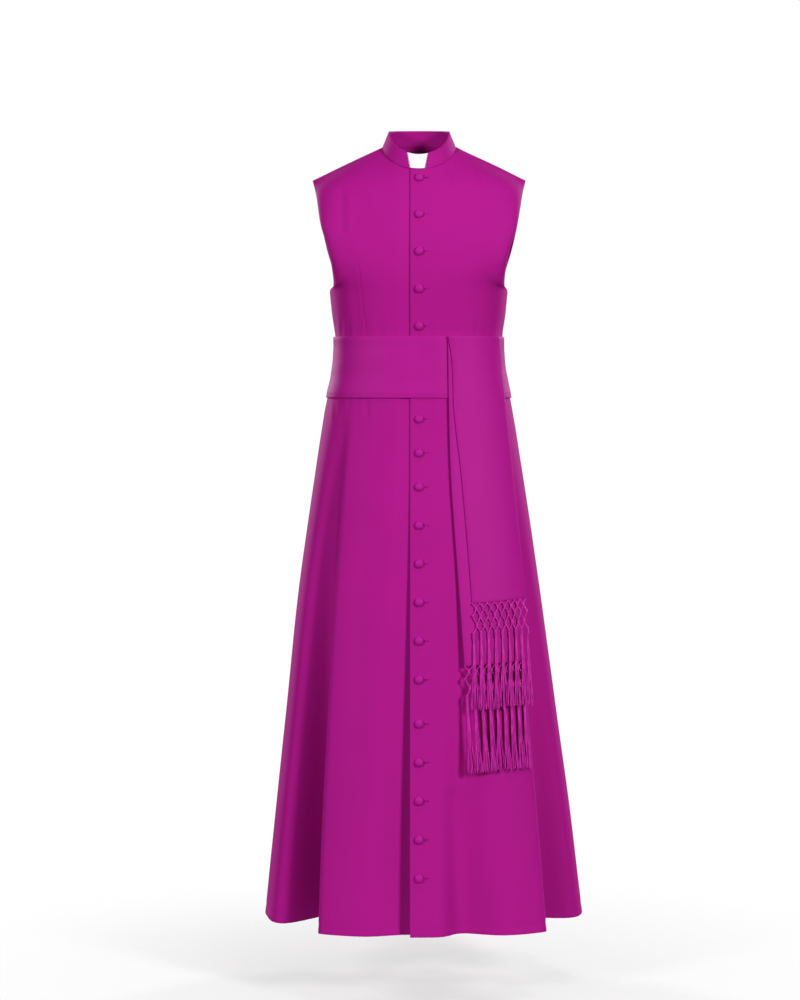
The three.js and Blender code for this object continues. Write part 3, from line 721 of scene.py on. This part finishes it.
# %% The three panels
pieces, robe_stitches = {}, []
ARMHOLE_FOOT = SKIRT_STEPS + SASH_STEPS + CHEST_STEPS  # the row at the underarm
HEM_ROW, ARMHOLE_INSET = 2, 2  # rows up from the hem, and rows and columns in from the armhole
for name, grid, zero, strokes, seed, armholes in (
    ("front_left", left_front, CENTRE_COLUMN, FRONT_STROKES, 0, [-1]),
    ("front_right", right_front, len(right_front[0]) - 1 - CENTRE_COLUMN, FRONT_STROKES, 0, [0]),
    ("back", back, COLUMNS, BACK_STROKES, 400, [0, -1]),
):
    bm, places = laid_sheet(grid, zero)
    press(bm, lambda point: panel_relief(strokes, seed, point))
    lift_hem(bm)
    last = len(grid[0]) - 1
    rows = [[(HEM_ROW, j) for j in range(last + 1)]]
    for side in armholes:
        column = ARMHOLE_INSET if side == 0 else last - ARMHOLE_INSET
        rows.append([(i, column) for i in range(ARMHOLE_FOOT + ARMHOLE_INSET, len(grid))])
    for cells in rows:
        robe_stitches += stitch_row(places, cells)
    pieces[name] = finish_piece(bm, name + "_cloth", suiting, [name], CLOTH, EDGE)
    print(name, len(pieces[name].data.polygons), "faces before its wall")

# %% [markdown]
# ## Collar and tab
# The stand collar is two layers of the cloth round a stiffener, so it is smooth, holds its own
# curve and rolls a little at its edges. A white tab sits behind the notch at the front.

# %% Collar
COLLAR_CLOTH, COLLAR_EDGE, COLLAR_COLUMNS, COLLAR_ROWS = 2.6, 0.8, 120, 10
COLLAR_WAVE, WAVE_SIZE = 0.25, 22
NOTCH = dict(left_bottom=11, left_top=17, right_bottom=-17, right_top=-23)


def collar_point(angle, share, inward=0):
    low = oval_point(NECKLINE, angle) + Vector((0, 0, SEAM_GAP))
    point = low.lerp(oval_point(COLLAR_TOP, angle), share)
    towards = Vector((-point.x / NECKLINE["side"], -point.y / NECKLINE["back_y"], 0))
    return point + towards.normalized() * inward


def notch_angle(x, share):
    return math.degrees(math.asin(x / lerp(NECKLINE["side"], COLLAR_TOP["side"], share)))


collar_grid = []
for share in spread(COLLAR_ROWS, 0, 1):
    start = notch_angle(lerp(NOTCH["left_bottom"], NOTCH["left_top"], share), share)
    end = 360 + notch_angle(lerp(NOTCH["right_bottom"], NOTCH["right_top"], share), share)
    collar_grid.append([collar_point(a, share) for a in spread(COLLAR_COLUMNS, start, end)])
bm, places = laid_sheet(collar_grid)
press(bm, lambda point: COLLAR_WAVE * noise.noise(point / WAVE_SIZE))
for row in (1, COLLAR_ROWS - 1):
    robe_stitches += stitch_row(places, [(row, j) for j in range(1, COLLAR_COLUMNS)])
for column in (1, COLLAR_COLUMNS - 1):
    robe_stitches += stitch_row(places, [(i, column) for i in range(1, COLLAR_ROWS)])
pieces["collar"] = finish_piece(
    bm, "collar_cloth", suiting, ["collar"], COLLAR_CLOTH, COLLAR_EDGE
)

TAB_PLASTIC, TAB_EDGE, TAB_ROWS, TAB_COLUMNS = 0.8, 0.25, 6, 24
TAB_GAP, TAB_REACH, TAB_INSET = 0.6, 15, 1  # behind the collar, past the notch, at its edges
tab_grid = []
inset = TAB_INSET / (COLLAR_TOP["front_z"] - NECKLINE["front_z"])
for share in spread(TAB_ROWS, inset, 1 - inset):
    start = notch_angle(NOTCH["right_top"] - TAB_REACH, share)
    end = notch_angle(NOTCH["left_top"] + TAB_REACH, share)
    behind = COLLAR_CLOTH + TAB_GAP
    tab_grid.append([collar_point(a, share, behind) for a in spread(TAB_COLUMNS, start, end)])
bm, places = laid_sheet(tab_grid)
pieces["collar_tab"] = finish_piece(
    bm, "white_tab", tab_plastic, ["collar_tab"], TAB_PLASTIC, TAB_EDGE
)
print("collar and tab made")

# %% [markdown]
# ## Sash
# The sash is a broad band of doubled cloth, pulled snug round the waist. It has no folds of the
# skirt under it, only faint level pulls where it is drawn tight.

# %% Sash band
SASH_CLEARANCE, SASH_CLOTH, SASH_EDGE = 1.3, 2.5, 0.7
SASH_ROWS, SASH_COLUMNS = 40, 240
SASH_STITCH_ROW = 2
SASH_STITCH = SASH_STITCH_ROW * (SASH_TOP_Z - SASH_BOTTOM_Z) / SASH_ROWS  # above the lower edge
ROLL_DEPTH, ROLL_REACH, SASH_GROOVE, SASH_GROOVE_WIDTH = 0.9, 3, 0.5, 1.6
PULL_DEPTH, PULL_LENGTH, PULL_HEIGHT = 0.9, 150, 26
DENT_X, DENT_WIDTH, DENT_DEPTH, DEEPEST = 50, 7, 1.6, 1.0  # the dent is beside the tails


def sash_relief(point):
    """Level pulls, an edge that rolls in slightly, and the groove of its lower stitching."""
    up, down = point.z - SASH_BOTTOM_Z, SASH_TOP_Z - point.z
    roll = -ROLL_DEPTH * (math.exp(-up / ROLL_REACH) + math.exp(-down / ROLL_REACH))
    groove = -SASH_GROOVE * bell(up - SASH_STITCH, SASH_GROOVE_WIDTH)
    pulled = Vector((point.x / PULL_LENGTH, point.y / PULL_LENGTH, point.z / PULL_HEIGHT))
    pulls = PULL_DEPTH * noise.noise(pulled)
    dent = -DENT_DEPTH * bell(point.x - DENT_X, DENT_WIDTH) if point.y < 0 else 0
    return max(roll + groove + pulls + dent, -DEEPEST)


sash_grid = []
for z in spread(SASH_ROWS, SASH_BOTTOM_Z, SASH_TOP_Z):
    ring = ring_curve(z, SASH_CLEARANCE + SASH_CLOTH, folded=False)
    sash_grid.append([ring(angle) for angle in spread(SASH_COLUMNS, 0, 360)])
bm, places = laid_sheet(sash_grid, closed=True)
press(bm, sash_relief)
sash_stitches = stitch_row(places, [(SASH_STITCH_ROW, j) for j in range(SASH_COLUMNS + 1)])
pieces["sash_band"] = finish_piece(
    bm, "sash_band_cloth", sash_cloth, ["sash_band"], SASH_CLOTH, SASH_EDGE
)
print("sash band:", len(sash_stitches), "stitches")

# %% [markdown]
# Two tails of the same cloth hang from the wearer's left. Each one is a strip laid on the smooth
# form at a distance from the centre front that grows towards the floor, the outer over the inner.

# %% Sash tails
TAIL_CLOTH, TAIL_EDGE, TAIL_WIDTH, TAIL_LAYER = 1.6, 0.4, 112, 2.6
TAILS = {  # z of the lower edge, layer, and the near edge's distance from the centre front by z
    "inner": (-946, 0, [(-1150, 97), (-946, 83), (-833, 75), (-616, 59), (-500, 55), (-352, 53)]),
    "outer": (-833, 1, [
        (-1150, 104), (-946, 101), (-833, 97), (-616, 79), (-489, 64.5), (-396, 60.5), (-352, 53.5),
    ]),
}
STANDOFF = [  # z, and how far the inner tail stands off the form
    (-1150, 3.2), (-900, 3), (-600, 2.4), (-495, 4), (-465, 4.6), (-352, 4.6),
]
TAIL_ROWS, TAIL_COLUMNS = 90, 28
TAIL_SLANT, SLANT_LENGTH = 2.8, 300  # of the lower edge's corners, and where it grows


def tail_points(tail, z, places, raised=0):
    """Points of a tail at one level, for distances across it."""
    _, layer, path = TAILS[tail]
    off = row_at(STANDOFF, z)[0] + layer * TAIL_LAYER + raised
    ring = ring_curve(z, off, folded=False)
    near = row_at(path, z)[0]
    points = walk(lambda t: ring(90 * t), [near + place for place in places])
    slant = TAIL_SLANT * smoothstep(SASH_BOTTOM_Z - z, 0, SLANT_LENGTH)
    for point, place in zip(points, places):
        point.z += slant * (2 * place / TAIL_WIDTH - 1)
    return points


TAIL_TOP_STROKES = [  # the outer tail is bent over just below the band's upper edge
    ((58, -362), (62, -392), 2.6, 1.1),
    ((62, -398), (63, -440), 2.8, 1.2),
    ((63, -446), (69, -492), 2.6, 0.8),
]
HANG_DEPTH, HANG_WIDTH, HANG_LENGTH = 0.75, 24, 260


def tail_relief(point):
    """Long shallow folds that follow the hang of the strip, and the bend at its top."""
    hang = HANG_DEPTH * noise.noise(Vector((point.x / HANG_WIDTH, 0, point.z / HANG_LENGTH)))
    return hang - stroke_depth(TAIL_TOP_STROKES, point.x, point.z)


for tail, (bottom, _, _) in TAILS.items():
    across = spread(TAIL_COLUMNS, 0, TAIL_WIDTH)
    grid = [tail_points(tail, z, across, TAIL_CLOTH) for z in spread(TAIL_ROWS, bottom, SASH_TOP_Z)]
    bm, places = laid_sheet(grid)
    press(bm, tail_relief)
    for column in (1, TAIL_COLUMNS - 1):
        sash_stitches += stitch_row(places, [(i, column) for i in range(TAIL_ROWS + 1)])
    name = "sash_tail_" + tail
    pieces[name] = finish_piece(
        bm, name + "_cloth", sash_cloth, [name], TAIL_CLOTH, TAIL_EDGE
    )
    print(name, SASH_TOP_Z - bottom, "mm long")

# %% [markdown]
# ## Fringe
# A knotted fringe starts as cords that hang from the tail's edge in pairs. Neighbouring pairs are
# tied together, parted and tied again, which leaves a net of almond-shaped holes, and under the
# last row of knots the yarn falls free as tassels. A cord is a curve with a round bevel, turned
# into a mesh, and two thin ones wound about each other read as twisted yarn.

# %% Cords
PITCHES = 8
PITCH = TAIL_WIDTH / PITCHES


def cord_piece(name, paths, radius, material, nodes=(), resolution=1):
    """One mesh of round cords, each along its own path of points in millimetres."""
    curve = bpy.data.curves.new(name, "CURVE")
    curve.dimensions = "3D"
    curve.bevel_depth = radius * MM
    curve.bevel_resolution = resolution
    curve.use_fill_caps = True
    for path in paths:
        spline = curve.splines.new("POLY")
        spline.points.add(len(path) - 1)
        for point, place in zip(spline.points, path):
            point.co = (*(place * MM), 1)
    holder = bpy.data.objects.new(name + "_path", curve)
    mesh = bpy.data.meshes.new_from_object(holder)
    bpy.data.objects.remove(holder)
    bm = bmesh.new()
    bm.from_mesh(mesh)
    bpy.data.meshes.remove(mesh)
    bmesh.ops.recalc_face_normals(bm, faces=bm.faces)
    return finish_piece(bm, name, material, nodes)


# %% [markdown]
# The net is planned flat, as distances across the tail and down from its edge, and then laid on
# the same curved surface as the tail.

# %% Net and tassels
KNOT_ROWS = [10, 23, 41, 55]  # depths of the rows of knots below the edge
CORD_STEPS = 9  # points from one knot to the next
CORD_TWIST = 5.5  # length of one turn of the two plies
NET_RAISED = 1.2  # the net's own thickness lifts it off the cloth behind
PLY = 0.85  # half of a ply's thickness
TASSEL_TOP, TASSEL_END = 58, 191
STRANDS, STRAND_STEPS, STRAND_RADIUS = 18, 14, 0.62


class Flat:
    """Takes a place on the flat plan to the tail's curved surface, by a table of its points."""

    NEAR, FAR, STEP_ACROSS = -14, 126, 7
    HIGH, LOW, STEP_DOWN = -10, 220, 10

    def __init__(self, tail):
        self.rows = []
        columns = range(self.NEAR, self.FAR + 1, self.STEP_ACROSS)
        for down in range(self.HIGH, self.LOW + 1, self.STEP_DOWN):
            z = TAILS[tail][0] - SEAM_GAP - down
            face = tail_points(tail, z, columns, TAIL_CLOTH / 2)
            proud = tail_points(tail, z, columns, TAIL_CLOTH / 2 + 1)
            self.rows.append(list(zip(face, proud)))

    def __call__(self, across, down, raised):
        column = (across - self.NEAR) / self.STEP_ACROSS
        row = (down - self.HIGH) / self.STEP_DOWN
        j = int(clamp(column, 0, len(self.rows[0]) - 2))
        i = int(clamp(row, 0, len(self.rows) - 2))
        s, t = column - j, row - i

        def blend(side):
            low = self.rows[i][j][side].lerp(self.rows[i][j + 1][side], s)
            high = self.rows[i + 1][j][side].lerp(self.rows[i + 1][j + 1][side], s)
            return low.lerp(high, t)

        face, proud = blend(0), blend(1)
        return face + (proud - face) * raised


def net_cords():
    """Each cord leaves the edge, and swings out to a knot and back by turns."""
    stops = [0, *KNOT_ROWS]
    for i in range(PITCHES + 1):
        for side in (-1, 1):
            if 0 <= i + side / 2 <= PITCHES:
                plan = []
                for k, (top, bottom) in enumerate(zip(stops, stops[1:])):
                    for t in spread(CORD_STEPS, 0, 1)[k > 0 :]:
                        out = 0.5 - 0.5 * math.cos(math.pi * t)
                        swing = out if k % 2 == 0 else 1 - out
                        plan.append((i * PITCH + side * swing * PITCH / 2, lerp(top, bottom, t)))
                yield plan


def twisted(plan, phase, flat):
    """The two plies of a cord along a path on the flat plan."""
    for ply in (0, math.pi):
        path, reached = [], 0
        for k, (across, down) in enumerate(plan):
            if k:
                reached += math.dist(plan[k - 1], (across, down))
            turn = math.tau * reached / CORD_TWIST + ply + phase
            raised = NET_RAISED + PLY * math.sin(turn)
            path.append(flat(across + PLY * math.cos(turn), down, raised))
        yield path


def knot_coil(across, down, height, flat, radius=2.1, turns=3):
    """Yarn wound round the cords of one knot."""
    path = []
    for t in spread(turns * 8, 0, 1):
        turn = math.tau * turns * t
        path.append(flat(
            across + radius * math.cos(turn),
            down + (t - 0.5) * height,
            NET_RAISED + radius * math.sin(turn),
        ))
    return path


BUNCH_TOP, BUNCH_END, BUNCH_THICK = 1.5, 8.2, 2.6  # radius under the knot, then at the ends
UNEVEN, ROUND, STRAY, SWAY, SWAY_OUT, LEAN = 8, 2, 3.4, 1.6, 0.8, 2.4
TWIST, SEED_TURN = 5, 2.4  # radians under the knot, and from one strand to the next


def tassel_strands(tassel, flat):
    """A round bunch of strands, which is twisted and tight under its knot and loosens towards
    uneven ends. Places in the bunch follow the spiral of a sunflower's seeds."""
    middle = tassel * PITCH
    lean = noise.noise_vector(Vector((tassel * 1.7, 9.1, 4.4)))
    for k in range(STRANDS):
        seed = tassel * STRANDS + k
        away, turned = math.sqrt((k + 0.5) / STRANDS), k * SEED_TURN
        wander = noise.noise_vector(Vector((seed * 1.37, 0.5, 0.2)))
        end = TASSEL_END + UNEVEN * noise.noise(Vector((seed * 2.11, 3.3, 0))) - ROUND * away
        path = []
        for t in spread(STRAND_STEPS, 0, 1):
            sway = noise.noise_vector(Vector((seed * 0.71, t * 3.2, tassel * 0.9)))
            twist = turned + TWIST * (1 - t) ** 3
            across = away * math.cos(twist) * lerp(BUNCH_TOP, BUNCH_END, t**1.6)
            across += STRAY * t**2 * wander.x
            raised = away * math.sin(twist) * lerp(BUNCH_TOP, BUNCH_THICK, t)
            raised += SWAY_OUT * sway.y * t
            place = middle + across + (SWAY * sway.x + LEAN * lean.x) * t
            down = lerp(TASSEL_TOP - 2, end, t)
            path.append(flat(place, down, raised + lerp(NET_RAISED, 2 * NET_RAISED, t)))
        yield path


# %% Two fringes
KNOT_HEIGHTS, BINDING_HEIGHT = (4.5, 5.5), 7  # by kind of row, and over each tassel
for tail in TAILS:
    flat = Flat(tail)
    cords = []
    for k, plan in enumerate(net_cords()):
        cords += twisted(plan, k * 1.9, flat)  # so that neighbours don't turn together
    knots = []
    for row, down in enumerate(KNOT_ROWS):
        whole = row % 2 == 1
        for i in range(PITCHES + whole):
            across = i * PITCH if whole else (i + 0.5) * PITCH
            knots.append(knot_coil(across, down, KNOT_HEIGHTS[whole], flat))
    strands = []
    for i in range(PITCHES + 1):
        knots.append(knot_coil(i * PITCH, TASSEL_TOP + 3, BINDING_HEIGHT, flat, 2.2, turns=4))
        strands += tassel_strands(i, flat)
    name = "fringe_" + tail
    pieces[name] = cord_piece(name + "_net", cords + knots, PLY, yarn, [name])
    pieces[name + "_strands"] = cord_piece(
        name + "_strands", strands, STRAND_RADIUS, yarn
    )
    print(name, len(cords), "plies,", len(knots), "knots,", len(strands), "strands")

# %% [markdown]
# ## Buttons
# Each button is a dome covered in the robe's own cloth, so its cloth is drawn tight over the
# front and turned under at the back. Half of its outline is spun round, and the dome is then
# turned and moved to its place on the centre front.

# %% Covered buttons
BUTTON_RADIUS, BUTTON_BACK, BUTTON_HEIGHT, BUTTON_RIM, BUTTON_STANDOFF = 8, 6.9, 6.4, 1.4, 0.5
DOME_STEPS, SPIN_STEPS = 7, 24
BUTTON_RUNS = {  # z of the first one, distance to the next, how many
    "bodice": (-62.5, 67.8, 5), "hip": (-503, 61.5, 2), "skirt": (-626, 69.4, 6),
    "hem": (-1052.2, 69.1, 5),
}


def centre_front(z):
    """The left front's place and outward direction on the centre line."""
    line = [row[CENTRE_COLUMN] for row in left_front]
    i = next(k for k, point in enumerate(line) if point.z > z)
    low, high = line[i - 1], line[i]
    up = high - low
    return low.lerp(high, (z - low.z) / up.z), Vector((0, -up.z, up.y)).normalized()


def button_bmesh():
    bm = bmesh.new()
    outline = [(0.0, 0.0), (BUTTON_BACK, 0.0), (BUTTON_BACK + 0.6, 0.4)]
    for turn in spread(DOME_STEPS, 0, math.pi / 2):
        outline.append((
            BUTTON_RADIUS * math.cos(turn),
            BUTTON_RIM + (BUTTON_HEIGHT - BUTTON_RIM) * math.sin(turn),
        ))
    points = [bm.verts.new(Vector((x, 0, z)) * MM) for x, z in outline]
    edges = [bm.edges.new(pair) for pair in zip(points, points[1:])]
    bmesh.ops.spin(
        bm, geom=points + edges, cent=(0, 0, 0), axis=(0, 0, 1), angle=math.tau,
        steps=SPIN_STEPS, use_merge=True,
    )
    bmesh.ops.remove_doubles(bm, verts=bm.verts, dist=1e-5)
    bmesh.ops.recalc_face_normals(bm, faces=bm.faces)
    uv = bm.loops.layers.uv.new("cut")
    for face in bm.faces:
        for loop in face.loops:
            loop[uv].uv = loop.vert.co.xy
    return bm


button_places = []
for run, (first_z, pitch, count) in BUTTON_RUNS.items():
    for k in range(count):
        point, outward = centre_front(first_z - k * pitch)
        bm = button_bmesh()
        turn = outward.to_track_quat("Z", "Y").to_matrix().to_4x4()
        place = Matrix.Translation((point + outward * BUTTON_STANDOFF) * MM)
        bmesh.ops.transform(bm, matrix=place @ turn, verts=bm.verts)
        name = f"button_{run}_{k + 1}"
        # The domes take the lighter copy of the suiting, a painted highlight.
        pieces[name] = finish_piece(bm, name + "_covered", button_cloth_painted_lighter, [name])
        button_places.append((point, outward))
print("buttons:", len(button_places))

# %% [markdown]
# ## Sewing
# Buttonholes are slits edged with close stitches, and show beside each button. The rows of
# straight stitches at the hem, armholes and edges are drawn a little thicker than real thread,
# because thread of 0.3 mm would not show.

# %% Buttonholes
HOLE_START, HOLE_END, HOLE_HALF, HOLE_RAISED, HOLE_THREAD = 7, 17, 0.7, 0.2, 0.4
HOLE_STEPS = 20
holes = []
for point, outward in button_places:
    up = Vector((0, outward.z, -outward.y)).normalized()
    outline = []
    for turn in spread(HOLE_STEPS, 0, math.tau):
        x = (HOLE_END if math.cos(turn) > 0 else HOLE_START) + HOLE_HALF * math.cos(turn)
        outline.append(
            point + Vector((x, 0, 0)) + up * HOLE_HALF * math.sin(turn) + outward * HOLE_RAISED
        )
    holes.append(outline)
pieces["buttonholes"] = cord_piece("buttonhole_stitching", holes, HOLE_THREAD, thread)

# %% Rows of stitches
EDGE_THREAD = 0.32
for name, stitches in (("robe", robe_stitches), ("sash", sash_stitches)):
    pieces[name + "_stitches"] = cord_piece(
        name + "_edge_stitches", stitches, EDGE_THREAD, thread, resolution=0
    )
    print(len(stitches), "stitches on the", name)

# %% [markdown]
# ## Cut sizes
# Each sheet's size as cut, before it was worn, is listed and printed. A panel is a long trapezoid,
# wide at the hem, whose width there goes round all of its folds. The collar and the sash are
# strips, and count with the side that shows.

CUTS = {  # name: cut width and length in metres, cut area in square metres, how it is held
    "front_left": (0.525, 1.50, 0.468, "hung"),
    "front_right": (0.595, 1.50, 0.505, "hung"),
    "back": (1.06, 1.46, 0.932, "hung"),
    "collar": (0.430, 0.034, 0.0135, "folded"),
    "sash_band": (0.958, 0.113, 0.104, "stretched"),
    "sash_tail_inner": (0.112, 0.600, 0.0672, "hung"),
    "sash_tail_outer": (0.112, 0.487, 0.0545, "hung"),
}
RESTS_ON = {
    "sash_band": ["front_left", "front_right", "back"],
    "sash_tail_inner": ["sash_band"],
    "sash_tail_outer": ["sash_band", "sash_tail_inner"],
}
for name, (width, length, area, held) in CUTS.items():
    fringe, own = name.replace("sash_tail", "fringe"), []
    if fringe != name:
        own = [piece for key, piece in pieces.items() if key.startswith(fringe)]
    under = [pieces[other] for other in RESTS_ON.get(name, [])]
    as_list(own)
    print(name, "cut", round(width * 1000), "by", round(length * 1000), "mm,", held)

# %% [markdown]
# ## Studio
# A pale floor, and a white surround that fills the shadows a little. Two large soft lights stand
# in front, a weak one hangs above, and two stand behind for the back.

# %% Floor and light
FLOOR_Z, FLOOR_RADIUS = -1.56, 1.3
bm = bmesh.new()
bmesh.ops.create_circle(bm, cap_ends=True, segments=96, radius=FLOOR_RADIUS)
bmesh.ops.translate(bm, verts=bm.verts, vec=(0, 0, FLOOR_Z))
floor_paint, shader, tree = finish_material("pale studio floor", "#f6f6f6", Roughness=0.9)
# The floor fades out around the robe, so that it has no visible edge against the white surround.
place = add_node(tree, "ShaderNodeTexCoord")
middle = add_node(
    tree, "ShaderNodeVectorMath", {"operation": "DISTANCE"}, {1: (0, 0, FLOOR_Z)},
    {"Vector": (place, "Object")},
)
fade = add_node(
    tree, "ShaderNodeMapRange", {"interpolation_type": "SMOOTHSTEP"},
    {"From Min": 0.15, "From Max": 1.15, "To Min": 0.5, "To Max": 0.0},
    {"Value": (middle, "Value")},
)
tree.links.new(fade.outputs["Result"], shader.inputs["Alpha"])
floor = mesh_object(bm, "floor", floor_paint)

# %% Surround
world = bpy.data.worlds.new("studio")
world.use_nodes = True
bpy.context.scene.world = world
surround = world.node_tree.nodes["Background"]
surround.inputs["Color"].default_value = (1, 1, 1, 1)
surround.inputs["Strength"].default_value = 0.06
bpy.context.scene.view_settings.view_transform = "Standard"
# Seen directly, the surround is a white wall. What it gives off as light is much weaker.
tree = world.node_tree
wall = add_node(tree, "ShaderNodeBackground", inputs={"Color": (1, 1, 1, 1), "Strength": 1.0})
seen = add_node(tree, "ShaderNodeLightPath")
shades = {1: (surround, "Background"), 2: (wall, "Background")}
both = add_node(tree, "ShaderNodeMixShader", links={"Fac": (seen, "Is Camera Ray"), **shades})
tree.links.new(both.outputs["Shader"], tree.nodes["World Output"].inputs["Surface"])


# %% Lights
def turned_towards(place, aim):
    return (Vector(aim) - Vector(place)).to_track_quat("-Z", "Y").to_euler()


def soft_light(name, place, power, aim=(0, 0, -0.7), size=1.2):
    lamp = bpy.data.lights.new(name, "AREA")
    lamp.shape, lamp.size, lamp.energy = "DISK", size, power
    light = new_object(name, lamp)
    light.location = place
    light.rotation_euler = turned_towards(place, aim)


soft_light("right key", (3.3, -3.8, 1.0), 190)
soft_light("left key", (-3.3, -3.8, 0.7), 136)
soft_light("top", (0.9, -1.3, 3.6), 28, aim=(0, 0, -0.3), size=1.0)
soft_light("back right", (3.3, 3.8, 1.0), 130)
soft_light("back left", (-3.3, 3.8, 0.7), 150)

# %% [markdown]
# The camera stands five metres off at the waist's height and looks slightly down, with a long
# lens that keeps the tall figure straight.

# %% Camera
EYE, AIM, FOCAL_LENGTH = (0, -5.0, -0.430), (-0.0355, 0, -0.656), 96.5
lens = bpy.data.cameras.new("camera")
lens.lens = FOCAL_LENGTH
camera = new_object("camera", lens)
camera.location = EYE
camera.rotation_euler = turned_towards(EYE, AIM)
bpy.context.scene.camera = camera
